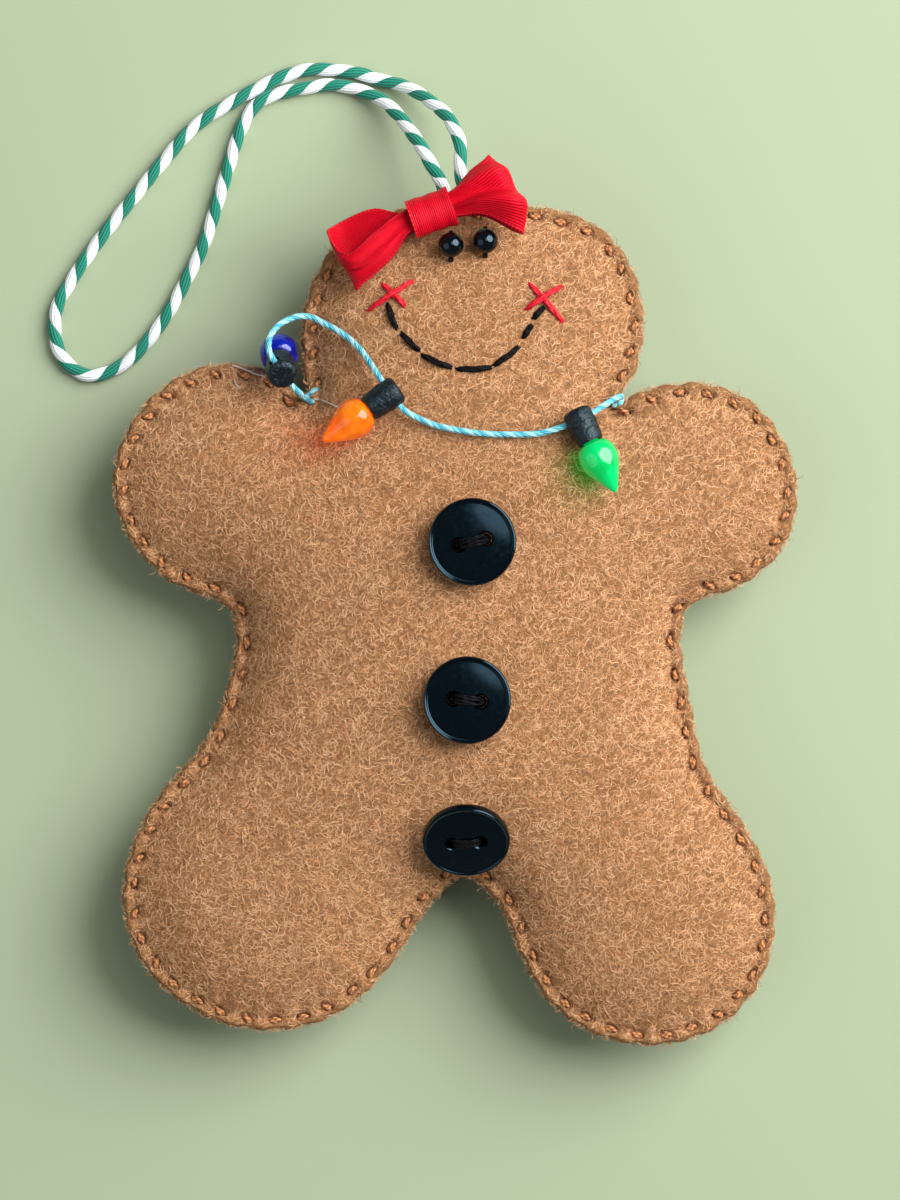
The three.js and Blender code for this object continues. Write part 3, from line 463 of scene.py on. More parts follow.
def thread_material(name, base, light, lines, twist, roughness=0.7, sheen=0.2, gloss=0.35):
    """Thread: fine strands that wind along it, painted lighter on their crests and darker in the grooves
    between them, as light and shade.
    """
    look = Shader(name, base, roughness, sheen_weight=sheen, specular_ior_level=gloss)
    across, along = look.lay()
    wave = look.wave(look.plus(look.times(across, lines), look.times(along, twist)), 1)
    grain = look.noise(look.place(), 9.0, 2.0)
    height = look.plus(wave, look.times(grain, 1.2))
    # The strands' crests take the light colour and the grooves the base: painted light and shade that follow
    # the relief.
    look.set("Base Color", look.mix(look.band(height, -0.4, 1.6), base, light))
    look.bump(height, 0.6, 0.06)
    return look.material


def plastic_material(name, base, roughness, **settings):
    """Moulded plastic with a faint grain and faint wear in its gloss."""
    look = Shader(name, base, roughness, **settings)
    spots = look.noise(look.place(), 3.0, 3.0)
    dust = look.band(look.noise(look.place(), 1.3, 4.0), 0.45, 0.8)
    look.set("Roughness", look.plus(look.times(dust, 0.12), roughness))
    look.bump(spots, 0.35, 0.003)
    return look.material


def satin_material():
    """Satin ribbon: fine ribs along it, painted lighter on their crests and darker in their troughs as light
    and shade, small light dots on its woven edges and a soft gloss.
    """
    look = Shader("ribbon_satin", "#dc1029", 0.44, specular_ior_level=0.3)
    look.set("Specular Tint", (1, 0.35, 0.42, 1))
    across, along = look.lay()
    ribs = look.wave(across, 34)
    weave = look.wave(along, 4.5)
    edge = look.band(look.math("ABSOLUTE", look.math("SUBTRACT", across, 0.5)), 0.455, 0.47)
    picks = look.times(edge, look.band(look.math("SINE", look.times(along, 9.0)), 0.2, 0.8))
    wander = look.noise(look.place(), 1.2, 3.0)
    height = look.plus(look.times(ribs, 0.7), look.times(weave, 0.1))
    height = look.plus(height, look.times(picks, 0.8))
    # The ribs' crests take the lighter red and the troughs the darker: painted light and shade that follow
    # the relief.
    tone = look.mix(look.band(ribs, -1.0, 1.0), "#b80318", "#e60a27")
    tone = look.mix(look.times(look.band(wander, 0.4, 0.7), 0.25), tone, "#a80318")
    look.set("Base Color", look.mix(look.times(picks, 0.3), tone, "#f8505e"))
    look.bump(height, 0.7, 0.07)
    return look.material


def rubber_material():
    """Moulded black rubber, uneven, with light scuffs and specks."""
    look = Shader("socket_black", "#0a1016", 0.42, specular_tint=(0.65, 0.88, 1, 1))
    at = look.place()
    lumps = look.noise(at, 1.1, 3.0, distortion=0.6)
    grain = look.noise(at, 6.0, 3.0)
    drawn = look.vector("MULTIPLY", at, (1.0, 2.6, 1.0))
    scuffs = look.band(look.noise(drawn, 1.7, 5.0, distortion=1.5), 0.6, 0.7)
    specks = look.band(look.noise(at, 4.0, 2.0), 0.7, 0.76)
    worn = look.math("MAXIMUM", look.times(scuffs, 0.3), look.times(specks, 0.6))
    look.set("Base Color", look.mix(worn, "#0a1016", "#6f8694"))
    look.set("Roughness", look.plus(look.times(scuffs, 0.25), 0.36))
    look.bump(look.plus(look.times(lumps, 1.0), look.times(grain, 0.2)), 0.8, 0.35)
    return look.material


def bulb_material(name, body, deep, painted_glow):
    """Clear coloured plastic with a painted glow, the same all over, that lets coloured light fall past."""
    look = Shader(name, body, 0.08, ior=1.45, transmission_weight=0.3, coat_weight=0.3, coat_roughness=0.03)
    # A painted glow: the same emission all over, though the bulb is no lamp.
    look.set("Emission Color", painted_glow)
    look.set("Emission Strength", 0.14)
    swirl = look.noise(look.place(), 0.35, 2.0)
    look.set("Base Color", look.mix(look.band(swirl, 0.35, 0.65), deep, body))
    look.bump(look.noise(look.place(), 0.6, 1.0), 0.15, 0.08)
    shadow = look.node("ShaderNodeLightPath", {}, "Is Shadow Ray")
    clear = look.node("ShaderNodeBsdfTransparent", {"Color": body})
    both = look.node("ShaderNodeMixShader", {0: shadow, 1: look.shader.outputs[0], 2: clear})
    look.tree.links.new(both, look.tree.nodes["Material Output"].inputs["Surface"])
    return look.material


# The felt's last colour is the painted shade in and round the stitch holes.
FELT = felt_material("felt_brown", "#bb8353", "#dba878", "#945e36", "#4e2812")
FIBRE_COLOURS = {"light": "#dba97d", "middle": "#c68d5d", "dark": "#a0683d"}
FIBRES = [
    Shader(f"fibre_{tone}", colour, 0.85, sheen_weight=0.1).material
    for tone, colour in FIBRE_COLOURS.items()
]
SEAM_THREAD = thread_material("seam_thread_brown", "#a25f2e", "#d0905b", 2, 1.4)
STUFFING = felt_material("stuffing_white", "#ece6da", "#ffffff", "#cfc6b6")
BLACK_THREAD = thread_material("thread_black", "#030304", "#0c0c10", 3, 0.9, 0.6, 0.0, 0.14)
RED_THREAD = thread_material("thread_red", "#c4061a", "#ee2038", 3, 0.9, 0.5, 0.0, 0.3)
GREEN_PLY = thread_material("ply_green", "#056650", "#12957c", 7, -2.0)
WHITE_PLY = thread_material("ply_white", "#dfe6e8", "#ffffff", 7, -2.0)
BLUE_PLY_COLOURS = {
    "turquoise": ("#46b2c8", "#8edde8"),
    "pale": ("#7fd0de", "#c6f0f6"),
    "deep": ("#278fa8", "#62c4d6"),
}
BLUE_PLIES = [
    thread_material(f"ply_{tone}", *colours, 3, 1.7, 0.5) for tone, colours in BLUE_PLY_COLOURS.items()
]
SATIN = satin_material()
BUTTON_GLOSS = plastic_material(
    "button_gloss", "#010306", 0.12, specular_tint=(0.38, 0.74, 1, 1), specular_ior_level=0.48
)
BEAD_GLOSS = plastic_material("bead_gloss", "#020408", 0.05, specular_tint=(0.6, 0.85, 1, 1))
SOCKET_RUBBER = rubber_material()
# Each bulb's body and deep colours, and the colour of its painted glow
BULB_COLOURS = {
    "blue": ("#0420b0", "#020a54", "#0214a0"),
    "orange": ("#f28e12", "#dc6a04", "#f06800"),
    "green": ("#00d278", "#00b860", "#00d86c"),
}
BULBS = {name: bulb_material(f"bulb_{name}_clear", *colours) for name, colours in BULB_COLOURS.items()}
NYLON = Shader("nylon_clear", "#e6d8cc", 0.15, transmission_weight=0.35, ior=1.5).material


# Cords: the hanging cord's route from end to end, and the garland cord's, as in the solid model
CORD_END_RIGHT = [[0.85, 65.4, 11], [1.25, 63.6, 11], [1.4, 61.6, 11], [1.4, 59.6, 11], [1.3, 57.4, 11]]
HANGING_ROUTE = [
    [0.69, 66.72, 11], [0.66, 70.43, 10.4], [-0.22, 72.71, 9], [-1.24, 74.68, 7.4], [-3.14, 76.5, 5.4],
    [-5.33, 78.26, 3.6], [-7.96, 79.6, 2], [-11.32, 80.49, 1.15], [-14.09, 81.4, 1], [-17.16, 81.83, 1],
    [-19.78, 82.05, 1], [-22.56, 81.83, 1], [-25.48, 80.94, 1], [-28.54, 79.57, 1], [-32.63, 77.38, 1],
    [-38.33, 73.73, 1], [-43, 68.62, 1], [-47.38, 63.29, 1], [-51.39, 58.4, 1], [-55.41, 52.9, 1],
    [-57.1, 50.22, 1], [-58.47, 47.89, 1], [-59.1, 45.55, 1], [-59.1, 42.49, 1], [-58.27, 39.86, 1],
    [-56.43, 37.81, 1], [-54.09, 36.79, 1], [-51.76, 37.14, 1], [-49.06, 38.48, 1], [-46.7, 40.5, 1],
    [-43, 45.19, 1], [-39.79, 50.88, 1], [-37.16, 56.25, 1], [-34.47, 64.63, 1], [-31.32, 74.02, 1],
    [-29.3, 76.9, 1], [-27, 78.2, 1], [-24.09, 78.93, 1], [-21.39, 79.38, 1], [-18.95, 79.73, 1],
    [-16.28, 79.49, 1.1], [-13.58, 78.7, 1.6], [-10.88, 77.38, 2.6], [-8.69, 75.34, 4.2],
    [-7.08, 73.15, 6.2], [-5.53, 70.88, 8.2], [-4.2, 68.47, 10], [-2.26, 64.97, 11],
]
CORD_END_LEFT = [[-1.75, 63.8, 11], [-1.4, 62.6, 11], [-1.15, 61.2, 11], [-1.1, 59.6, 11], [-1.1, 57.4, 11]]
GARLAND_ROUTE = [
    [-22.4, 33.4, 15], [-22.55, 33.6, 16.3], [-23.1, 34.1, 17.4], [-24.2, 35.28, 18.48],
    [-25.2, 36.72, 19.37], [-26.2, 38.16, 20.26], [-27, 39.7, 20.4], [-27, 41.45, 19.6], [-26.2, 43, 18.4],
    [-24.8, 44.15, 17.2], [-22.8, 44.9, 16.3], [-21, 44.8, 16], [-19.23, 43.93, 16.1], [-17.18, 42.82, 16.7],
    [-15.13, 41.3, 17.6], [-13.6, 39.7, 18.7], [-12.4, 38, 20.2], [-11.3, 36.3, 21.7], [-10.2, 34.63, 22.2],
    [-9.4, 33.49, 22.2], [-8.6, 32.35, 22.2], [-7.3, 31, 22.05], [-5.3, 29.9, 21.6], [-3, 28.95, 21.7],
    [-0.7, 28.4, 21.8], [3.6, 27.75, 21.7], [8, 27.6, 21.5], [12, 27.75, 21.42], [15.9, 28.87, 21.4],
    [17.93, 29.86, 21.37], [19.8, 30.77, 21.33], [21.3, 31.7, 20.2], [22.5, 32.5, 18.6],
    [23.5, 33.05, 16.8], [24.1, 33.25, 15.1],
]
CORD_DIAMETER = 2 * MM
CORD_PITCH = 5.8 * MM
GARLAND_DIAMETER = 0.93 * MM
GARLAND_PITCH = 3 * MM


def make_hanging_cord():
    """Two plies, green and white, laid round each other along one path, in three pieces."""
    route = np.array([*CORD_END_RIGHT[::-1], *HANGING_ROUTE, *CORD_END_LEFT]) * MM
    path = smooth_line(route, 1700)
    turns = [HANGING_ROUTE[0], HANGING_ROUTE[-1]]
    first, last = (int(np.argmin(np.linalg.norm(path - np.array(at) * MM, axis=1))) for at in turns)
    spans = {
        "cord_end_right": (path[: first + 1][::-1], "figure"),
        "hanging_loop": (path[first : last + 1], "loop"),
        "cord_end_left": (path[last:], "figure"),
    }
    for node, (span, body) in spans.items():
        form = Form()
        wound_cord(form, span, CORD_DIAMETER / 2, 2, 32, CORD_PITCH, -1, 0.2)
        name = f"{node}_twine"
        piece = add_piece(name, form.mesh(name), body, [GREEN_PLY, WHITE_PLY], node)


def make_garland_cord():
    """Three thin plies that wind the other way."""
    path = smooth_line(np.array(GARLAND_ROUTE) * MM, 800)
    form = Form()
    wound_cord(form, path, GARLAND_DIAMETER / 2, 3, 24, GARLAND_PITCH, 1, 0.2)
    name = "garland_twine"
    piece = add_piece(name, form.mesh(name), "figure", BLUE_PLIES, "garland_cord")


# The garland's end knots, each a fold of the cord and a short tail of it, and the clear threads that
# hold the garland
GARLAND_TAILS = {
    "left": [
        [[301, 394.5], [304, 397.5], [308, 400], [312.5, 402.5]],
        [[305.5, 399], [308.5, 395.5], [312.5, 392], [316.5, 389.5]],
    ],
    "right": [
        [[618, 398.5], [621, 398], [622, 400.5], [620, 404]],
        [[617.5, 399.5], [615, 402.5], [614, 406]],
    ],
}
NYLON_PIXELS = {
    "nylon_thread_chest": [[311, 400.5], [318, 399.5], [325, 402], [333, 405.8], [341, 409.8], [348, 414]],
    "nylon_thread_arm": [[233, 365.5], [240, 367.8], [248, 371], [256, 374.5], [262, 375.8], [265.5, 376.8]],
    "nylon_thread_end": [[234.5, 380.5], [236, 384], [239.5, 388.5]],
}
TAIL_DIAMETER = 0.8 * MM
NYLON_DIAMETER = 0.24 * MM


def make_garland_ends(tree):
    """The cord's end comes down to the felt in the neck's notch and lies on it."""
    cord_ends = {"left": GARLAND_ROUTE[0], "right": GARLAND_ROUTE[-1]}
    for side, tails in GARLAND_TAILS.items():
        form = Form()
        for tail in tails:
            spots = np.array([place(pixel) for pixel in tail])
            points = np.column_stack([spots, height_on(tree, spots, 1) + TAIL_DIAMETER / 2])
            points[0, 2] = max(points[0, 2], cord_ends[side][2] * MM)
            wound_cord(form, smooth_line(points, 40), TAIL_DIAMETER / 2, 3, 18, GARLAND_PITCH, 1, 0.25)
        name = f"garland_tails_{side}"
        add_piece(name, form.mesh(name), "figure", BLUE_PLIES, f"garland_knot_{side}")


def make_nylon(tree):
    """Clear threads that lie on the felt and arch off it a little."""
    for name, pixels in NYLON_PIXELS.items():
        spots = smooth_line([place(pixel) for pixel in pixels], 40)
        rise = NYLON_DIAMETER * (0.6 + 0.5 * np.sin(np.linspace(0, math.pi, len(spots))))
        form = Form()
        tube(form, np.column_stack([spots, height_on(tree, spots, 1) + rise]), NYLON_DIAMETER / 2, 8)
        add_piece(name, form.mesh(name), "figure", [NYLON])


# Felt panels
OUTLINE_PIXELS = [
    [475, 204], [545, 208], [598, 227], [629, 262], [643, 315], [636, 370], [616, 402],
    [648, 389], [700, 383], [752, 402], [786, 446], [797, 500], [780, 552], [740, 586], [692, 604],
    [681, 632], [690, 700], [706, 768], [742, 822], [769, 876], [774, 934], [755, 990], [712, 1030],
    [650, 1045], [591, 1032], [548, 1000], [522, 958], [498, 903], [463, 877],
    [430, 905], [394, 960], [357, 1000], [318, 1022], [268, 1030], [212, 1019], [156, 980],
    [127, 928], [125, 874], [152, 806], [205, 742], [227, 690], [236, 630], [226, 606],
    [168, 580], [124, 528], [114, 470], [136, 416], [175, 379], [222, 364], [272, 373], [306, 402],
    [303, 365], [302, 325], [315, 277], [346, 234], [402, 209],
]
FELT_THICKNESS = 1.2 * MM
FLANGE_THICKNESS = 1.3 * MM
FLANGE_START = 1.6
FLANGE_WIDTH = 1.6
SEAM_GAP = 0.03 * MM
SWELL_INSET = 1.75 * MM
SWELL_POWER = 0.55
SWELL_REACH = 3 * MM
SWELL_EDGE = 1.6 * MM
SWELL_BLEND_START = 2.5 * MM
SWELL_BLEND_WIDTH = 1.5 * MM
FIRM_REACH = 7.5 * MM
FIRM_SHARE = 0.8
GRID_CELL = 0.65 * MM
GRID_MARGIN = 8
SWEEP_COUNT = 420
RELAXATION = 1.93
STITCH_COUNT = 104
STITCH_COLUMNS = 16
STITCH_INSET = 1.5 * MM
RIM_COUNT = STITCH_COUNT * STITCH_COLUMNS
RING_INSETS = [
    0, 0.08, 0.2, 0.36, 0.54, 0.74, 0.95, 1.15, 1.35, 1.55, 1.75, 1.95, 2.15, 2.4, 2.7, 3.1, 3.6, 4.3,
]
LATTICE_SPACING = 0.85 * MM
LATTICE_INSET = RING_INSETS[-1] + 0.5
WAD_ROOM = 0.2 * MM
WAD_REACH = 1.6 * MM

# The relief of the sewn edge in millimetres: the rounded rim, the puffs between the stitches, the
# groove that the stitches lie in, their dimples, the pits at their ends and the wrinkles inwards of them
RIM_WIDTH = 0.7
RIM_PULL, RIM_PULL_SPREAD, RIM_PULL_WIDTH = 0.3, 0.4, 1.1
PUFF_HEIGHT, PUFF_SINK, PUFF_INSET, PUFF_WIDTH = 0.34, 0.1, 0.95, 0.6
GROOVE_DEPTH, GROOVE_INSET, GROOVE_WIDTH, GROOVE_SHADE_WIDTH = 0.2, 1.7, 0.5, 0.4
DIMPLE_DEPTH, DIMPLE_LENGTH, DIMPLE_WIDTH = 0.42, 1.0, 0.62
PIT_DEPTH, PIT_REACH, PIT_LENGTH, PIT_WIDTH = 0.55, 0.88, 0.3, 0.38
WRINKLE_HEIGHT, WRINKLE_INSET, WRINKLE_WIDTH = 0.2, 2.9, 1.1
UNEVEN_WAVES = ((5.5 * MM, 3, 0.16), (2.2 * MM, 4, 0.05))
UNEVEN_START, UNEVEN_WIDTH = 3, 5

# Where the felt is drawn tight over the stuffing up to the seam, under the eyes and the bottom button
EYES_WAY = (2.5 * MM, 0)
FIRM_PLACES = [middle_of("eye_bead_left")[:2] + EYES_WAY, middle_of("button_bottom")[:2]]

# The outline runs clockwise, so what is inwards is on its right
outline = smooth_line([place(pixel) for pixel in OUTLINE_PIXELS], RIM_COUNT, closed=True)
outline_way = unit(np.roll(outline, -4, axis=0) - np.roll(outline, 4, axis=0))
outline_inward = np.stack([outline_way[:, 1], -outline_way[:, 0]], axis=1)
stitch_pitch = line_length(np.vstack([outline, outline[:1]])) / STITCH_COUNT

# Each stitch of the hand sewing: how far it is shifted along the edge, its inset, slant and half length
stitch_shift = random.uniform(-0.4, 0.4, STITCH_COUNT) * MM
stitch_inset = STITCH_INSET + random.uniform(-0.15, 0.15, STITCH_COUNT) * MM
stitch_slant = random.uniform(-0.2, 0.9, STITCH_COUNT)
stitch_reach = random.uniform(0.56, 0.74, STITCH_COUNT) * MM


def inset_line(inset):
    return outline + outline_inward * inset


def inside(line, spots):
    """Whether each spot lies within a closed line."""
    after = np.roll(line, -1, axis=0)
    result = np.zeros(len(spots), bool)
    for (x0, y0), (x1, y1) in zip(line, after):
        crossing = (y0 > spots[:, 1]) != (y1 > spots[:, 1])
        with np.errstate(divide="ignore", invalid="ignore"):
            result ^= crossing & (spots[:, 0] < (x1 - x0) * (spots[:, 1] - y0) / (y1 - y0) + x0)
    return result


BLOCK_SIZE = 2000


def nearest(points, spots):
    """For each spot, the index of the nearest point and its distance."""
    found = np.empty(len(spots), int)
    far = np.empty(len(spots))
    for start in range(0, len(spots), BLOCK_SIZE):
        block = slice(start, start + BLOCK_SIZE)
        gaps = ((spots[block][:, None] - points[None]) ** 2).sum(2)
        found[block] = gaps.argmin(1)
        far[block] = np.sqrt(gaps.min(1))
    return found, far


def neighbours(grid):
    return np.roll(grid, 1, 0) + np.roll(grid, -1, 0) + np.roll(grid, 1, 1) + np.roll(grid, -1, 1)


def swell_field(line):
    """The swell of a skin held along a line and pressed from one side, from 0 to 1. Near the line it is
    read as a steepness times the exact distance from the line, so that it stays smooth there."""
    low, high = line.min(0) - GRID_MARGIN * GRID_CELL, line.max(0) + GRID_MARGIN * GRID_CELL
    columns, rows = (np.ceil((high - low) / GRID_CELL).astype(int) + 1).tolist()
    ys, xs = np.mgrid[0:rows, 0:columns]
    spots = low + np.stack([xs.ravel(), ys.ravel()], 1) * GRID_CELL
    free = inside(line[::4], spots).reshape(rows, columns)
    lift = np.zeros((rows, columns))
    for sweep in range(SWEEP_COUNT * 2):
        mask = free & ((xs + ys) % 2 == sweep % 2)
        lift[mask] += ((neighbours(lift) + 1) / 4 - lift)[mask] * RELAXATION
    lift = lift.clip(0) / lift.max()
    gaps = nearest(line[::2], spots)[1].reshape(rows, columns)
    known = free & (gaps > SWELL_EDGE)
    steepness = np.where(known, lift / np.maximum(gaps, SWELL_EDGE), 0)
    for _ in range(GRID_MARGIN):
        count = neighbours(known.astype(float))
        fresh = ~known & (count > 0)
        steepness[fresh] = (neighbours(steepness) / np.maximum(count, 1))[fresh]
        known |= fresh

    def read(grid, spots):
        u, v = ((spots - low) / GRID_CELL).T
        column = np.clip(u.astype(int), 0, columns - 2)
        row = np.clip(v.astype(int), 0, rows - 2)
        u, v = u - column, v - row
        near = grid[row, column] * (1 - u) + grid[row, column + 1] * u
        far = grid[row + 1, column] * (1 - u) + grid[row + 1, column + 1] * u
        return near * (1 - v) + far * v

    def at(spots, gaps):
        gaps = gaps.clip(0)
        inner = np.clip((gaps - SWELL_BLEND_START) / SWELL_BLEND_WIDTH, 0, 1)
        inner = inner * inner * (3 - 2 * inner)
        lifted = read(steepness, spots) * gaps * (1 - inner) + read(lift, spots) * inner
        slack = np.exp(-gaps / SWELL_REACH)
        for firm in FIRM_PLACES:
            slack *= 1 - FIRM_SHARE * np.exp(-((np.linalg.norm(spots - firm, axis=1) / FIRM_REACH) ** 4))
        return lifted.clip(0) ** (SWELL_POWER + (1 - SWELL_POWER) * slack)

    return at


MERGE_DISTANCE = 1e-9


def skin_plan():
    """The plan of a panel, with its faces upwards: rings of points along its edge, whose quads come
    first, and a lattice of triangles within the last of them."""
    rings = [inset_line(inset * MM) for inset in RING_INSETS]
    low, high = outline.min(0), outline.max(0)
    row_step = LATTICE_SPACING * math.sqrt(3) / 2
    rows, columns = ((high - low)[::-1] / (row_step, LATTICE_SPACING)).astype(int) + 1
    ys, xs = np.mgrid[0:rows, 0:columns]
    spots = low + np.stack([(xs + (ys % 2) / 2).ravel() * LATTICE_SPACING, ys.ravel() * row_step], 1)
    spots = spots[inside(inset_line(LATTICE_INSET * MM)[::4], spots)]
    inner = rings[-1][::2]
    corners = [Vector(point) for point in (*inner, *spots)]
    edges = [(index, (index + 1) % len(inner)) for index in range(len(inner))]
    _, _, triangles, _, _, _ = delaunay_2d_cdt(corners, edges, [], 1, MERGE_DISTANCE)
    start = (len(rings) - 1) * RIM_COUNT
    even = np.arange(0, RIM_COUNT, 2)
    number = np.concatenate([start + even, len(rings) * RIM_COUNT + np.arange(len(spots))])
    bridge = np.stack([start + even, start + even + 1, start + (even + 2) % RIM_COUNT], 1)
    triangles = np.vstack([number[np.array(triangles)], bridge])
    points = np.vstack([*rings, spots])
    ways = points[triangles[:, 1:]] - points[triangles[:, :1]]
    upward = np.cross(ways[:, 0], ways[:, 1]) > 0
    triangles = np.where(upward[:, None], triangles, triangles[:, ::-1])
    return points, grid_faces(len(rings), RIM_COUNT, True)[:, ::-1], triangles


swell_at = swell_field(inset_line(SWELL_INSET))
plan, plan_quads, plan_triangles = skin_plan()
plan_thirds = np.vstack([plan_quads[:, 1:], plan_quads[:, [1, 3, 0]], plan_triangles])
lattice_column, lattice_inset = nearest(outline, plan[len(RING_INSETS) * RIM_COUNT :])
plan_column = np.concatenate([np.tile(np.arange(RIM_COUNT), len(RING_INSETS)), lattice_column])
plan_inset = np.concatenate([np.repeat(RING_INSETS, RIM_COUNT) * MM, lattice_inset])

RIPPLE_WAVES = 14
RIPPLE_RANGE = 1.4


def ripple(spots, scale, seed):
    """Smooth random waves, mostly from -1 to 1."""
    source = np.random.default_rng(seed)
    total = np.zeros(len(spots))
    for _ in range(RIPPLE_WAVES):
        way = source.normal(size=2) / scale
        total += np.sin(spots @ way + source.uniform(0, FULL_TURN))
    return total / RIPPLE_WAVES**0.5 / RIPPLE_RANGE


def stitch_places(columns, insets):
    """Where points lie from the nearest stitch, in millimetres: along it, across it, and how far the
    point is from a stitch as a share, 0 at it and 1 midway to the next."""
    number = np.rint(columns / STITCH_COLUMNS).astype(int)
    along = (columns / STITCH_COLUMNS - number) * stitch_pitch
    number = number % STITCH_COUNT
    shifted = along - stitch_shift[number] * np.cos(math.pi * along / stitch_pitch) ** 2
    across = insets - stitch_inset[number]
    slant = stitch_slant[number]
    size = np.sqrt(1 + slant**2)
    share = 0.5 - 0.5 * np.cos(FULL_TURN * shifted / stitch_pitch)
    return (shifted + slant * across) / size / MM, (across - slant * shifted) / size / MM, share


def bell(value, width):
    return np.exp(-((value / width) ** 2))


stitch_along, stitch_across, stitch_share = stitch_places(plan_column, plan_inset)


def outer_heights(rise):
    """The heights of a panel's outside over the seam's plane: a rounded rim that puffs up between the
    stitches, a dimple under each stitch with a pit at each of its ends, and the swell."""
    inset = plan_inset / MM
    rim = np.sqrt(np.clip(1 - ((RIM_WIDTH - np.minimum(inset, RIM_WIDTH)) / RIM_WIDTH) ** 2, 0, 1))
    puff = (PUFF_HEIGHT * stitch_share - PUFF_SINK) * bell(inset - PUFF_INSET, PUFF_WIDTH)
    groove = -GROOVE_DEPTH * bell(inset - GROOVE_INSET, GROOVE_WIDTH) * (1 - 0.5 * stitch_share)
    dimple = -DIMPLE_DEPTH * bell(stitch_along, DIMPLE_LENGTH) * bell(stitch_across, DIMPLE_WIDTH)
    pits = -PIT_DEPTH * bell(np.abs(stitch_along) - PIT_REACH, PIT_LENGTH) * bell(stitch_across, PIT_WIDTH)
    wrinkle = WRINKLE_HEIGHT * (stitch_share - 0.5) * bell(inset - WRINKLE_INSET, WRINKLE_WIDTH)
    swelling = swell_at(plan, plan_inset - SWELL_INSET)
    uneven = sum(ripple(plan, scale, seed) * height for scale, seed, height in UNEVEN_WAVES)
    uneven = uneven * np.clip((inset - UNEVEN_START) / UNEVEN_WIDTH, 0, 1)
    details = (puff + groove + dimple + pits + wrinkle) * rim + uneven
    return FLANGE_THICKNESS * rim + (rise - FLANGE_THICKNESS) * swelling + details * MM


def panel_points(rise, side):
    """The outside and inside of a panel; side is 1 for the front and -1 for the back."""
    pull = (RIM_PULL - RIM_PULL_SPREAD * stitch_share) * np.exp(-plan_inset / MM / RIM_PULL_WIDTH) * MM
    spread = plan + outline_inward[plan_column] * pull[:, None]
    outer = np.column_stack([spread, outer_heights(rise)])
    first, second, third = (outer[plan_thirds[:, index]] for index in range(3))
    sides = np.cross(second - first, third - first)
    sides = sides * np.sign(sides[:, 2:])
    normals = np.zeros_like(outer)
    for corner in range(3):
        np.add.at(normals, plan_thirds[:, corner], sides)
    inner = outer - unit(normals) * FELT_THICKNESS * 0.95
    flange = np.clip((plan_inset / MM - FLANGE_START) / FLANGE_WIDTH, 0, 1)[:, None]
    flat = np.column_stack([spread, np.full(len(plan), SEAM_GAP)])
    inner = flat * (1 - flange) + inner * flange
    inner[:, 2] = np.maximum(inner[:, 2], SEAM_GAP)
    for points in (outer, inner):
        points[:, 2] = SEAM_HEIGHT + side * points[:, 2]
    return outer, inner


# The painted shade in the holes at the stitches' ends and round them, in millimetres
HOLE_REACH, HOLE_LENGTH, HOLE_WIDTH = 0.8, 0.27, 0.36
SHADE_LENGTH, SHADE_WIDTH, SHADE_REACH, SHADE_SHARE = 0.85, 0.52, 0.38, 0.6


def make_panel(name, node, rise, side):
    """A felt panel as a closed skin; gives the tree of its outside, for the pieces that lie on it."""
    outer, inner = panel_points(rise, side)
    if side < 0:
        outer[:, 2] = np.maximum(outer[:, 2], box_of(node)[0][2])
    count = len(plan)
    rows = np.arange(RIM_COUNT)
    after = (rows + 1) % RIM_COUNT
    rim = np.stack([rows, after, after + count, rows + count], 1)
    insides = [block[:, ::-1] + count for block in (plan_quads, plan_triangles)]
    blocks = [plan_quads, plan_triangles, *insides, rim]
    if side < 0:
        blocks = [block[:, ::-1] for block in blocks]
    # Painted shade for the felt's colour: darkest in the holes at the stitches' ends, softer round each
    # stitch, and a share of it along the groove that the stitches lie in.
    ends = bell(np.abs(stitch_along) - HOLE_REACH, HOLE_LENGTH) * bell(stitch_across, HOLE_WIDTH)
    around = bell(np.hypot(stitch_along / SHADE_LENGTH, stitch_across / SHADE_WIDTH) - 1, SHADE_REACH)
    groove = bell(plan_inset / MM - GROOVE_INSET, GROOVE_SHADE_WIDTH)
    shade = np.stack([np.maximum(ends, around * SHADE_SHARE), groove], 1)
    lay = np.concatenate([shade[block.ravel() % count] for block in blocks])
    mesh = mesh_of(name, np.vstack([outer, inner]), blocks, lay)
    add_piece(name, mesh, "figure", [FELT], node)
    return BVHTree.FromPolygons(outer.tolist(), plan_thirds.tolist())


RAY_START = 50 * MM


def surface_at(tree, spots, side):
    """The height and the upright share of a panel's outside at each spot."""
    start = SEAM_HEIGHT + side * RAY_START
    down = Vector((0, 0, -side))
    found = np.empty((len(spots), 2))
    for index, (x, y) in enumerate(spots[:, :2].tolist()):
        spot, normal, _, _ = tree.ray_cast(Vector((x, y, start)), down)
        found[index] = (SEAM_HEIGHT, 0) if spot is None else (spot.z, abs(normal.z))
    return found


def height_on(tree, spots, side):
    return surface_at(tree, np.asarray(spots), side)[:, 0]


# Fibres: lengths in millimetres. No fibre lies over a stitch or down a step of the felt
FIBRE_STEPS = 7
FIBRE_TAPER = np.array([0.4, 0.85, 1, 1, 1, 0.85, 0.4])
FIBRE_LENGTHS = (0.8, 2.3)
FIBRE_INSET = 0.5 * MM
FIBRE_SINK = 0.02 * MM
FIBRE_STEP = 0.75 * MM
UPRIGHT_SHARE = 0.42
LEAST_UPRIGHT = 0.14
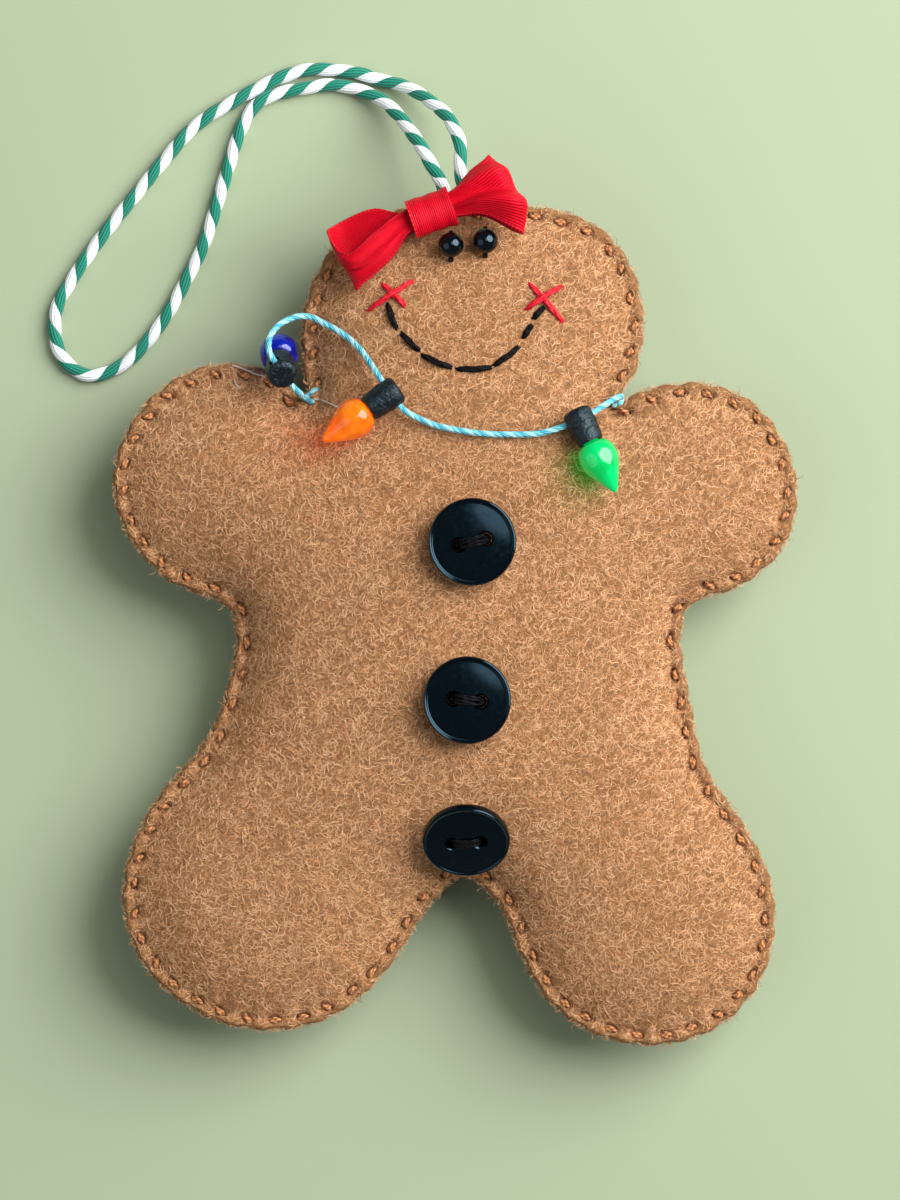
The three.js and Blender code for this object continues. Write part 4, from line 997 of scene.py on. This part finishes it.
# The mat layers below take mostly darker tones and the top layers mostly lighter ones: painted shade low in
# the felt and painted light on its top, over tones that also differ at random.
MAT_FIBRES = {"width": 0.085 * MM, "lift": 0.08 * MM, "tone_shares": (0.25, 0.45, 0.3)}
TOP_FIBRES = {"width": 0.1 * MM, "lift": 0.13 * MM, "tone_shares": (0.66, 0.34, 0)}
STITCH_ROOM = 1 * MM
FUZZ_LENGTHS = (0.3, 0.75)
FUZZ_INSET = 0.4 * MM
FUZZ_WIDTHS = (0.08, 0.04)
FUZZ_HEIGHTS = (0.05, 1.1)
FUZZ_TONE_SHARES = (0.4, 0.4, 0.2)


def add_ribbons(name, paths, overs, widths, tones):
    """Flat ribbons along many short paths: overs point out of each ribbon's flat side."""
    count, steps, _ = paths.shape
    across = unit(np.cross(overs, np.gradient(paths, axis=1))) * widths
    points = np.stack([paths - across / 2, paths + across / 2], 2).reshape(-1, 3)
    face = grid_faces(steps, 2, False)
    faces = (face[None] + (np.arange(count) * steps * 2)[:, None, None]).reshape(-1, 4)
    mesh = mesh_of(name, points, [faces])
    mesh.polygons.foreach_set("material_index", np.repeat(tones, len(face)).astype(np.int32))
    add_piece(name, mesh, "figure", FIBRES)


def make_fibres(name, tree, side, count, seed, width, lift, tone_shares):
    """Curly fibres that lie on a panel, each with its own lift and lean. A steep place has more of them
    for its area in plan, so that it is covered as well as a level one."""
    source = np.random.default_rng(seed)
    low, high = outline.min(0), outline.max(0)
    spots = source.uniform(low, high, (count * 5, 2))
    spots = spots[inside(inset_line(FIBRE_INSET)[::4], spots)]
    upright = surface_at(tree, spots, side)[:, 1]
    kept = source.uniform(size=len(spots)) < UPRIGHT_SHARE / np.maximum(upright, LEAST_UPRIGHT)
    spots = spots[kept][:count]
    count = len(spots)
    length = source.uniform(*FIBRE_LENGTHS, count) * MM / (FIBRE_STEPS - 1)
    angle = source.uniform(0, FULL_TURN, count)
    bend = source.normal(0, 0.5, count)
    paths = np.empty((count, FIBRE_STEPS, 3))
    for step in range(FIBRE_STEPS):
        paths[:, step, :2] = spots
        angle = angle + bend + source.normal(0, 0.3, count)
        spots = spots + np.stack([np.cos(angle), np.sin(angle)], 1) * length[:, None]
    column, inset = nearest(outline[::2], paths[:, FIBRE_STEPS // 2, :2])
    along, across, _ = stitch_places(column * 2, inset)
    ground = height_on(tree, paths[..., :2].reshape(-1, 2), side).reshape(count, FIBRE_STEPS)
    arch = np.sin(np.linspace(0, math.pi, FIBRE_STEPS)) * source.uniform(0.1, 1, (count, 1)) * lift
    left_out = np.abs(np.diff(ground, axis=1)).max(1) > FIBRE_STEP
    left_out |= np.hypot(along, across) * MM < STITCH_ROOM
    paths[..., 2] = ground + side * (arch - FIBRE_SINK)
    paths = paths[~left_out]
    count = len(paths)
    lean = source.normal(0, 0.5, (count, 1))
    lean = lean + np.linspace(-0.5, 0.5, FIBRE_STEPS) * source.normal(0, 1, (count, 1))
    tangents = unit(np.gradient(paths, axis=1))
    flat = unit(np.cross(tangents, (0, 0, side)))
    overs = np.cross(flat, tangents) * np.cos(lean)[..., None] + flat * np.sin(lean)[..., None]
    widths = FIBRE_TAPER[None, :, None] * source.uniform(0.65, 1.15, (count, 1, 1)) * width
    add_ribbons(name, paths, overs, widths, source.choice(3, count, p=tone_shares))


def make_fuzz(name, side, count, seed):
    """Short fibres that stand out past the rim and make its edge fuzzy."""
    source = np.random.default_rng(seed)
    column = source.integers(0, RIM_COUNT, count)
    inward, way = outline_inward[column], outline_way[column]
    length = source.uniform(*FUZZ_LENGTHS, count)[:, None] * MM
    out = (-inward + way * source.normal(0, 0.9, (count, 1))) * length
    curl = way * source.normal(0, 0.5, (count, 1)) * length
    paths = np.empty((count, FIBRE_STEPS, 3))
    height = source.uniform(*FUZZ_HEIGHTS, count)
    climb = source.normal(0.05, 0.2, count)
    for step, share in enumerate(np.arange(FIBRE_STEPS) / (FIBRE_STEPS - 1)):
        paths[:, step, :2] = outline[column] + inward * FUZZ_INSET + out * share + curl * share**2
        paths[:, step, 2] = SEAM_HEIGHT + side * (height + climb * share) * MM
    overs = np.broadcast_to(unit(source.normal(size=(count, 1, 3)) + (0, 0, 1.2)), paths.shape)
    widths = np.linspace(*FUZZ_WIDTHS, FIBRE_STEPS)[None, :, None] * MM
    add_ribbons(name, paths, overs, widths, source.choice(3, count, p=FUZZ_TONE_SHARES))


# Seam stitches, in millimetres: the arch of a stitch and its sink, and the radius of a strand at the
# stitch's ends and what its middle has more
SEAM_STEPS = 13
SEAM_ARCH, SEAM_SINK = 0.9, 0.5
SEAM_STRAND_RADIUS, SEAM_STRAND_SWELL = 0.18, 0.13
SEAM_STRAND_PITCH = 3.2 * MM
SEAM_STRAND_REACH = 0.2 * MM


def make_seam(name, node, tree, side):
    """Short thick stitches of two strands, each sunk in its dimple, with both ends down in the felt."""
    form = Form()
    reach = np.linspace(-1, 1, SEAM_STEPS)
    rise = np.sqrt(np.clip(1 - reach**2, 0, 1))
    for stitch in range(STITCH_COUNT):
        column = stitch * STITCH_COLUMNS
        way, inward = outline_way[column], outline_inward[column]
        centre = outline[column] + way * stitch_shift[stitch] + inward * stitch_inset[stitch]
        along = unit(way + inward * stitch_slant[stitch])
        spots = centre + along * (reach * stitch_reach[stitch])[:, None]
        heights = height_on(tree, [centre], side)[0] + side * (rise * SEAM_ARCH - SEAM_SINK) * MM
        path = np.column_stack([spots, heights])
        for turn in (0, math.pi):
            strand = twisted(path, SEAM_STRAND_PITCH, SEAM_STRAND_REACH, turn + stitch_slant[stitch] * 3)
            tube(form, strand, (SEAM_STRAND_RADIUS + SEAM_STRAND_SWELL * rise) * MM, 8)
    add_piece(name, form.mesh(name), "figure", [SEAM_THREAD], node)


# Face
SMILE_PIXELS = [
    [[388, 305.8], [397.2, 331]], [[402, 335.2], [419.6, 352.8]], [[422.4, 357], [451.2, 369.6]],
    [[456.8, 371], [490.5, 369.6]], [[493.3, 367.5], [517.9, 349.3]], [[522.8, 339.5], [531, 327.5]],
    [[532.8, 320.5], [543, 309.3]],
]
CHEEK_PIXELS = {
    "cheek_left_stitch_under": [[383, 286], [405, 308]],
    "cheek_left_stitch_over": [[369, 312], [412.6, 283.3]],
    "cheek_right_stitch_under": [[529, 286], [561.3, 323.3]],
    "cheek_right_stitch_over": [[525.6, 311.4], [560.6, 288.2]],
}
SMILE_DIAMETER = 1 * MM
SMILE_BOWS = (-0.05, -0.05, -0.05, -0.05, -0.05, 0, 0)
CHEEK_DIAMETER = 0.95 * MM
LOW_RISE = 0.1 * MM
CROSSING_RISE = 0.75 * MM
FLOSS_STEPS = 25
FLOSS_PITCH = 9 * MM


def floss_stitch(node, slot, ends, tree, diameter, rise, material, bow):
    """A stitch of three twisted strands that comes out of the felt, swells and goes in again."""
    start, end = (place(pixel) for pixel in ends)
    reach = np.linspace(-1.04, 1.04, FLOSS_STEPS)
    middle, half = (start + end) / 2, (end - start) / 2
    side = np.array((-half[1], half[0]))
    spots = middle + half * reach[:, None] + side * bow * (1 - reach**2)[:, None]
    arch = np.clip(1 - reach**2, 0, 1)
    heights = height_on(tree, spots, 1) + (np.sqrt(arch) * 0.5 - 0.15) * diameter + rise * arch
    path = np.column_stack([spots, heights])
    form = Form()
    swell = 0.45 + 0.55 * np.sqrt(arch)
    for strand in range(3):
        tube(form, twisted(path, FLOSS_PITCH, diameter * 0.2, strand * 2.1), diameter * 0.3 * swell, 9)
    name = f"{node}_floss"
    add_piece(name, form.mesh(name), "figure", [material], node)


def make_face(tree):
    for number, (ends, bow) in enumerate(zip(SMILE_PIXELS, SMILE_BOWS), 1):
        thread = (SMILE_DIAMETER, LOW_RISE, BLACK_THREAD, bow)
        floss_stitch(f"smile_stitch_{number}", "black_thread", ends, tree, *thread)
    for node, ends in CHEEK_PIXELS.items():
        rise = CROSSING_RISE if node.endswith("over") else LOW_RISE
        floss_stitch(node, "red_thread", ends, tree, CHEEK_DIAMETER, rise, RED_THREAD, 0.03)


# Buttons
BUTTON_DIAMETER = 12.7 * MM
BUTTON_THICKNESS = 2.3 * MM
BUTTON_HOLE = 1.9 * MM
BUTTON_HOLE_SPACING = 4 * MM
BUTTON_SHARES = [
    [0.001, 0], [0.72, 0], [0.86, 0.1], [0.93, 0.22], [0.98, 0.36], [1, 0.5], [1, 0.76], [0.993, 0.87],
    [0.978, 0.94], [0.958, 0.965], [0.94, 0.95], [0.925, 0.905], [0.912, 0.87], [0.895, 0.86],
    [0.86, 0.868], [0.75, 0.9], [0.6, 0.935], [0.4, 0.967], [0.2, 0.987], [0.001, 0.993],
]
BUTTON_TURNS = {"top": (0, 13), "middle": (0, -6), "bottom": (38, 4)}
# A hole's profile, as shares of its radius and of the button's thickness, from below it to over it
HOLE_SHARES = [[1, -0.5], [1, 0.78], [1.08, 0.88], [1.26, 0.975], [1.26, 1.8]]
BUTTON_SEGMENTS = 96
HOLE_SEGMENTS = 32


def button_matrix(name):
    """The place of a button: its tip and the turn of its holes, with its back's middle at the origin."""
    tip, turn = (math.radians(angle) for angle in BUTTON_TURNS[name])
    spin = Matrix.Rotation(tip, 4, "X") @ Matrix.Rotation(turn, 4, "Z")
    middle = Vector(middle_of(f"button_{name}"))
    return Matrix.Translation(middle - spin @ Vector((0, 0, BUTTON_THICKNESS / 2))) @ spin


def make_buttons():
    for name in BUTTON_TURNS:
        matrix = button_matrix(name)
        node = f"button_{name}"
        profile = sized(BUTTON_SHARES, BUTTON_DIAMETER / 2, BUTTON_THICKNESS)
        body = mesh_of("button", *lathe(profile, BUTTON_SEGMENTS))
        cutters = []
        for side in (-1, 1):
            bore = sized(HOLE_SHARES, BUTTON_HOLE / 2, BUTTON_THICKNESS)
            spots, blocks = lathe(bore, HOLE_SEGMENTS)
            spots[:, 0] += side * BUTTON_HOLE_SPACING / 2
            cutters.append(mesh_of("bore", spots, blocks))
        mesh = moved(cut_away(body, cutters, 35), matrix)
        add_piece(f"{node}_gloss", mesh, node, [BUTTON_GLOSS], node)
        make_button_thread(name, matrix)


# A button's thread in millimetres: the strands' spacing, how far they wander across each other, their
# radius and how far they go down behind the button, and the core of black thread that fills each hole:
# thread that runs through it, and also a dark plug as painted shade in the hole
STRAND_COUNT = 5
STRAND_SPACING, STRAND_WANDER, STRAND_RADIUS = 0.27, 0.22, 0.19
STRAND_DEPTH, STRAND_OUT = 0.7, 0.1
STRAND_IN_HOLE, STRAND_EDGE_LIFT = 0.6, 0.2
STRAND_LIFTS = {-1: (0.48, 0.58), 1: (0.58, 0.46)}
CORE_HEIGHTS, CORE_TOP, CORE_RADIUS = (-0.6, 0.1), 1.1, 0.8


def make_button_thread(name, matrix):
    """Strands of thread over the bridge between the holes, down to behind the button."""
    form = Form()
    half = BUTTON_HOLE_SPACING / MM / 2
    bridge = 0.84 * BUTTON_THICKNESS / MM
    for strand in range(STRAND_COUNT):
        offset = (strand - 2) * STRAND_SPACING
        cross = math.sin(strand * 2.4 + len(name)) * STRAND_WANDER
        runs = []
        for side in (-1, 1):
            lift = STRAND_LIFTS[side][strand % 2]
            runs.append([
                (side * (half + STRAND_OUT), offset * 0.6, -STRAND_DEPTH),
                (side * half, offset * 0.8, bridge - STRAND_IN_HOLE),
                (side * half * 0.8, offset - side * cross, bridge + STRAND_EDGE_LIFT),
                (side * half * 0.3, offset - side * cross * 0.5, bridge + lift),
            ])
        spots = np.array([*runs[0], *runs[1][::-1]]) * MM
        tube(form, smooth_line(spots, 30), STRAND_RADIUS * MM, 8)
    # Each hole's core: black thread, which also darkens the hole as painted shade.
    for side in (-1, 1):
        core = [(side * half, 0, height) for height in (*CORE_HEIGHTS, bridge - CORE_TOP)]
        tube(form, np.array(core) * MM, CORE_RADIUS * MM, 16)
    node = f"button_thread_{name}"
    mesh = moved(form.mesh(f"{node}_strands"), matrix)
    add_piece(f"{node}_strands", mesh, f"button_{name}", [BLACK_THREAD], node)


# Eyes: the bore as a share of the bead's radius, and the thread's way through the bead, whose x is in
# strand spacings, y in outer radii and z in bead radii
BEAD_BORE_SHARE = 0.3
EYE_THREAD_SPACING = 0.14 * MM
EYE_THREAD_RADIUS = 0.2 * MM
EYE_THREAD_SHARES = [
    [1, 0.97, -1], [1, 1, -0.4], [1, 0.9, 0], [1, 0, 0], [1, -0.9, 0],
    [1.5, -1.04, -0.3], [1.2, -1.12, -0.85],
]


def make_eyes():
    for side in ("left", "right"):
        node = f"eye_bead_{side}"
        centre = middle_of(node)
        radius = (box_of(node)[1][2] - box_of(node)[0][2]) / 2
        bore = radius * BEAD_BORE_SHARE
        open_angle = math.asin(bore / radius)
        angles = np.linspace(open_angle, math.pi - open_angle, 22)
        profile = [(math.sin(angle) * radius, -math.cos(angle) * radius) for angle in angles]
        profile += [(bore * 0.96, profile[end][1] * 0.8) for end in (-1, 0)]
        points, faces = lathe([*profile, profile[0]], 40, lids=False)
        turned = Matrix.Translation(centre) @ Matrix.Rotation(-math.pi / 2, 4, "X")
        mesh = round_off(moved(mesh_of("bead", points, faces), turned), 50)
        add_piece(f"{node}_gloss", mesh, f"eye_{side}", [BEAD_GLOSS], node)
        form = Form()
        for strand in (-1, 1):
            scale = (strand * EYE_THREAD_SPACING, radius + EYE_THREAD_SPACING, radius)
            spots = np.array(EYE_THREAD_SHARES) * scale
            tube(form, smooth_line(spots + centre, 40), EYE_THREAD_RADIUS, 8)
        node = f"eye_thread_{side}"
        name = f"{node}_strands"
        add_piece(name, form.mesh(name), "figure", [BLACK_THREAD], node)


# Bow
BOW_PIXEL = (433, 219.5)
BOW_HEIGHT = 15.6 * MM
BOW_TURN = 19.3
BOW_TILT = -14
BOW_LENGTH = 28.6 * MM
RIBBON_WIDTH = 10.5 * MM
RIBBON_THICKNESS = 0.3 * MM
BOW_DEPTH = 6 * MM
BOW_SIZE = (BOW_LENGTH, RIBBON_WIDTH, BOW_DEPTH)
WRAP_SIZE = np.array((6.4, 5.6, 5)) * MM
WRAP_STEPS, WRAP_SIDES, WRAP_LAY = 29, 120, (0.62, 17)

# The bow's ribbon, as stations along it: the shares of the bow's length, of the ribbon's width and of
# the bow's depth at five points across it, or one share for all five
RIBBON_SHARES = [
    (0, [0.14, 0.07, 0, -0.07, -0.14], 0.25),
    (-0.14, [0.16, 0.09, 0, -0.09, -0.17], 0.27),
    (-0.27, [0.36, 0.17, -0.02, -0.21, -0.4], [0.27, 0.23, 0.22, 0.2, 0.2]),
    ([-0.48, -0.48, -0.47, -0.47, -0.45], [0.34, 0.11, -0.12, -0.36, -0.6], [0.15, 0.13, 0.13, 0.12, 0.12]),
    ([-0.53, -0.53, -0.52, -0.5, -0.49], [0.2, 0, -0.22, -0.44, -0.66], [0.6, 0.55, 0.46, 0.33, 0.2]),
    ([-0.48, -0.48, -0.48, -0.47, -0.46], [-0.27, -0.36, -0.44, -0.53, -0.61], [1, 0.96, 0.8, 0.58, 0.32]),
    (-0.3, [-0.07, -0.17, -0.27, -0.37, -0.47], [0.88, 0.9, 0.83, 0.72, 0.55]),
    (-0.14, [0.12, 0.05, -0.04, -0.11, -0.19], 0.58),
    (0, [0.14, 0.07, 0, -0.07, -0.14], 0.58),
    (0.14, [0.18, 0.09, -0.02, -0.12, -0.2], [0.56, 0.58, 0.54, 0.57, 0.53]),
    ([0.26, 0.27, 0.27, 0.26, 0.24], [0.37, 0.18, 0.02, -0.14, -0.29], [0.52, 0.8, 0.62, 0.9, 0.57]),
    ([0.34, 0.38, 0.4, 0.42, 0.36], [0.45, 0.21, -0.04, -0.3, -0.6], [0.53, 0.83, 0.68, 0.97, 0.43]),
    ([0.37, 0.43, 0.44, 0.47, 0.4], [0.52, 0.23, -0.09, -0.34, -0.7], [0.4, 0.57, 0.48, 0.65, 0.25]),
    ([0.34, 0.38, 0.39, 0.4, 0.36], [0.45, 0.21, -0.06, -0.32, -0.59], [0.17, 0.15, 0.13, 0.13, 0.13]),
    (0.25, [0.34, 0.18, 0.02, -0.13, -0.27], [0.22, 0.2, 0.18, 0.18, 0.2]),
    (0.14, [0.16, 0.09, 0, -0.09, -0.17], 0.27),
]


def bow_matrix():
    x, y = place(BOW_PIXEL)
    turn = Matrix.Rotation(math.radians(BOW_TURN), 4, "Z") @ Matrix.Rotation(math.radians(BOW_TILT), 4, "X")
    return Matrix.Translation((x, y, BOW_HEIGHT)) @ turn


def ribbon_points(along_count, across_count):
    """A fine grid of points on the ribbon: smooth along it and across it."""
    stations = [np.stack(np.broadcast_arrays(*station), -1) for station in RIBBON_SHARES]
    lines = [smooth_line(line, along_count, closed=True) for line in np.stack(stations, 1) * BOW_SIZE]
    return np.stack([smooth_line(row, across_count) for row in np.stack(lines, 1)])


def add_satin(node, points, faces, lay):
    name = f"{node}_satin"
    mesh = moved(mesh_of(name, points.reshape(-1, 3), [faces], lay), bow_matrix())
    return add_piece(name, mesh, "figure", [SATIN], node)


def make_bow():
    along_count, across_count = 260, 33
    points = ribbon_points(along_count, across_count)
    points = np.concatenate([points, points[:1]])
    lay = grid_lay(along_count + 1, across_count, False, 1, 70)
    piece = add_satin("bow_ribbon", points, grid_faces(along_count + 1, across_count, False), lay)
    thick = piece.modifiers.new("thickness", "SOLIDIFY")
    thick.thickness = RIBBON_THICKNESS
    thick.offset = 0


def make_wrap():
    """The band round the bow's middle, whose ribs run round it."""
    reach = np.linspace(-1, 1, WRAP_STEPS)
    angles = np.arange(WRAP_SIDES) * 2 * np.pi / WRAP_SIDES
    waist = 1 + 0.05 * reach**2 + 0.02 * np.sin(reach * 9)
    layers = []
    for inset in (0, RIBBON_THICKNESS):
        x = np.broadcast_to((reach * WRAP_SIZE[0] / 2)[:, None], (WRAP_STEPS, WRAP_SIDES))
        y = (WRAP_SIZE[1] / 2 - inset) * waist[:, None] * np.cos(angles)
        z = (WRAP_SIZE[2] / 2 - inset) * waist[:, None] * np.sin(angles) + WRAP_SIZE[2] / 2
        layers.append(np.stack([x, y, z], -1))
    rings = np.concatenate([layers[0], layers[1][::-1], layers[0][:1]])
    faces = grid_faces(len(rings), WRAP_SIDES, True)
    over = np.concatenate([np.linspace(0, 1, WRAP_STEPS), np.linspace(1, 0, WRAP_STEPS), [0]]) * WRAP_LAY[0]
    row = faces // WRAP_SIDES
    turn = (faces - row * WRAP_SIDES) / WRAP_SIDES
    turn[:, 1:3] += np.where(turn[:, 1:3] < turn[:, [0, 0]], 1, 0)
    lay = np.stack([over[row], turn * WRAP_LAY[1]], -1)
    add_satin("bow_wrap", rings, faces, lay.reshape(-1, 2))


# Garland lights
SOCKET_DIAMETER = 4.5 * MM
SOCKET_LENGTH = 5.3 * MM
SOCKET_CORD_INSET = 1.4 * MM
SOCKET_BORE = 1.7 * MM
BULB_DIAMETER = 5.7 * MM
BULB_LENGTH = 8.1 * MM
BULB_NECK = 1.6 * MM
SOCKET_SHARES = [
    [0.001, 0.02], [0.4, 0.005], [0.62, 0.002], [0.76, 0.012], [0.87, 0.04], [0.94, 0.085],
    [0.985, 0.15], [1, 0.22], [1, 0.36], [0.99, 0.46], [0.975, 0.52], [0.945, 0.545], [0.94, 0.6],
    [0.93, 0.7], [0.9, 0.82], [0.87, 0.92], [0.84, 0.975], [0.79, 1], [0.7, 0.995], [0.66, 0.97],
    [0.65, 0.64], [0.001, 0.62],
]
BULB_SHARES = [
    [0.001, 0], [0.38, 0.005], [0.41, 0.02], [0.42, 0.1], [0.43, 0.165], [0.52, 0.178], [0.66, 0.195],
    [0.8, 0.228], [0.92, 0.285], [0.985, 0.35], [1, 0.41], [0.985, 0.47], [0.93, 0.54], [0.82, 0.62],
    [0.68, 0.7], [0.52, 0.785], [0.37, 0.865], [0.25, 0.925], [0.17, 0.963], [0.1, 0.986],
    [0.04, 0.998], [0.001, 1],
]
SOCKET_SEGMENTS = 48
BORE_SEGMENTS = 28
BORE_REACH = 4 * MM
BULB_SEGMENTS = 96
FACET = math.pi / 4
FACET_DEPTH = 0.6


def bulb_matrix(name):
    """The place of a bulb: X along the cord through the socket, Z from the socket's end to the tip."""
    joint = next(joint for joint in frame["joints"] if joint["name"] == f"{name}_swing")
    pivot = np.array(joint["pos_m"])
    across = unit(np.array(joint["axis"], float))
    if name != "blue":
        across = -across
    spots = [vertex.co for vertex in frame["nodes"][f"bulb_{name}"].data.vertices]
    far = np.array(spots).mean(0)
    along = unit(far - pivot - across * ((far - pivot) @ across))
    start = pivot - along * SOCKET_CORD_INSET
    rows = np.column_stack([across, np.cross(along, across), along, start])
    return Matrix([*rows.tolist(), [0, 0, 0, 1]])


def make_lights():
    for name in BULBS:
        matrix = bulb_matrix(name)
        node = f"socket_{name}"
        profile = sized(SOCKET_SHARES, SOCKET_DIAMETER / 2, SOCKET_LENGTH)
        body = mesh_of("socket", *lathe(profile, SOCKET_SEGMENTS))
        spots, blocks = lathe([(SOCKET_BORE / 2, end * BORE_REACH) for end in (-1, 1)], BORE_SEGMENTS)
        spots = spots[:, [2, 1, 0]] + (0, 0, SOCKET_CORD_INSET)
        cutter = mesh_of("bore", spots, [block[:, ::-1] for block in blocks])
        mesh = moved(cut_away(body, [cutter], 40), matrix)
        add_piece(f"{node}_rubber", mesh, f"bulb_{name}", [SOCKET_RUBBER], node)
        make_bulb(name, matrix)


def make_bulb(name, matrix):
    """A drop with eight soft facets."""
    whole = BULB_LENGTH + BULB_NECK
    profile = sized(smooth_line(BULB_SHARES, 64), BULB_DIAMETER / 2, whole)
    points, blocks = lathe(profile, BULB_SEGMENTS)
    within = (np.arctan2(points[:, 1], points[:, 0]) % FACET) - FACET / 2
    flat = np.cos(FACET / 2) / np.cos(within)
    height = points[:, 2] / whole
    share = np.clip((height - 0.2) / 0.2, 0, 1) * np.clip((1.05 - height) / 0.3, 0, 1)
    points[:, :2] *= (1 - share * FACET_DEPTH * (1 - (flat + 1) / 2))[:, None]
    node = f"bulb_{name}"
    matrix = matrix @ Matrix.Translation((0, 0, SOCKET_LENGTH - BULB_NECK))
    mesh = moved(mesh_of(f"{node}_clear", points, blocks), matrix)
    add_piece(f"{node}_clear", mesh, node, [BULBS[name]], node)


WAD_LEAST_UPRIGHT = 0.35


def make_wads():
    """The wads of stuffing inside: each solid's form, pressed in where the felt is drawn down over it."""
    for name, node in frame["nodes"].items():
        if not name.startswith("stuffing"):
            continue
        mesh = node.data.copy()
        points = np.array([node.matrix_world @ corner.co for corner in mesh.vertices])
        for side, tree in ((1, front_top), (-1, back_top)):
            height, upright = surface_at(tree, points, side).T
            height = (height - SEAM_HEIGHT) * side
            for way in ((1, 0), (0, 1), (-1, 0), (0, -1)):
                around = points[:, :2] + np.array(way) * WAD_REACH
                height = np.minimum(height, (height_on(tree, around, side) - SEAM_HEIGHT) * side)
            limit = height - (FELT_THICKNESS / np.maximum(upright, WAD_LEAST_UPRIGHT) + WAD_ROOM)
            over = np.minimum((points[:, 2] - SEAM_HEIGHT) * side, limit.clip(WAD_ROOM))
            points[:, 2] = SEAM_HEIGHT + side * over
        mesh.vertices.foreach_set("co", points.ravel().astype(np.float32))
        piece = add_piece(name.replace("stuffing", "wad"), mesh, "figure", [STUFFING], name)


def dress_knot():
    """The hanging cord's knot inside the head keeps its solid."""
    knot = frame["nodes"]["cord_knot"]
    knot.data.materials.clear()
    knot.data.materials.append(GREEN_PLY)


# Floor and light, in metres
FLOOR_REACH = 3.0
LAMPS = {
    "key": (0.75, 8.2, (0.5, 0.27, 0.5)),
    "panel": (0.4, 2.5, (0.19, 0.23, 0.74)),
    "fill": (1, 0.8, (-0.7, -0.2, 0.7)),
}
SKY_COLOUR = (0.85, 0.95, 1, 1)
SKY_STRENGTH = 0.17


def make_floor():
    mesh = bpy.data.meshes.new("floor")
    ways = ((-1, -1), (1, -1), (1, 1), (-1, 1))
    mesh.from_pydata([(x * FLOOR_REACH, y * FLOOR_REACH, 0) for x, y in ways], [], [(0, 1, 2, 3)])
    mesh.materials.append(Shader("floor_pale", "#a4b192", 0.85, specular_ior_level=0.2).material)
    add_object("floor", mesh)


def add_lamp(name, size, radiance, place):
    """A soft round lamp that points at the figure; radiance 1 is as bright as white paper."""
    data = bpy.data.lights.new(name, "AREA")
    data.shape = "DISK"
    data.size = size
    data.energy = radiance * math.pi * math.pi * (size / 2) ** 2
    lamp = add_object(name, data)
    lamp.location = place
    lamp.rotation_mode = "QUATERNION"
    lamp.rotation_quaternion = (Vector((0, 0, SEAM_HEIGHT)) - Vector(place)).to_track_quat("-Z", "Y")
    lamp.visible_camera = False


def make_light():
    for name, facts in LAMPS.items():
        add_lamp(name, *facts)
    world = bpy.data.worlds.new("world")
    bpy.context.scene.world = world
    world.use_nodes = True
    sky = world.node_tree.nodes["Background"].inputs
    sky["Color"].default_value = SKY_COLOUR
    sky["Strength"].default_value = SKY_STRENGTH
    bpy.context.scene.view_settings.view_transform = "Standard"


FIBRE_COUNT = 16000
FUZZ_COUNT = 3000

make_camera()
make_hanging_cord()
make_garland_cord()
front_top = make_panel("felt_front", "front_panel", FRONT_RISE, 1)
back_top = make_panel("felt_back", "back_panel", BACK_RISE, -1)
for face, tree, side, mats, layers, seed in (
    ("front", front_top, 1, 3, 5, 11), ("back", back_top, -1, 2, 3, 21)
):
    for layer in range(layers):
        kind = MAT_FIBRES if layer < mats else TOP_FIBRES
        make_fibres(f"felt_fibres_{face}_{layer}", tree, side, FIBRE_COUNT, seed + layer, **kind)
make_fuzz("felt_fuzz_front", 1, FUZZ_COUNT, 31)
make_fuzz("felt_fuzz_back", -1, FUZZ_COUNT, 32)
make_seam("seam_stitches_front", "seam_thread_front", front_top, 1)
make_seam("seam_stitches_back", "seam_thread_back", back_top, -1)
make_face(front_top)
make_garland_ends(front_top)
make_nylon(front_top)
make_buttons()
make_eyes()
make_bow()
make_wrap()
make_lights()
make_wads()
dress_knot()
make_floor()
make_light()
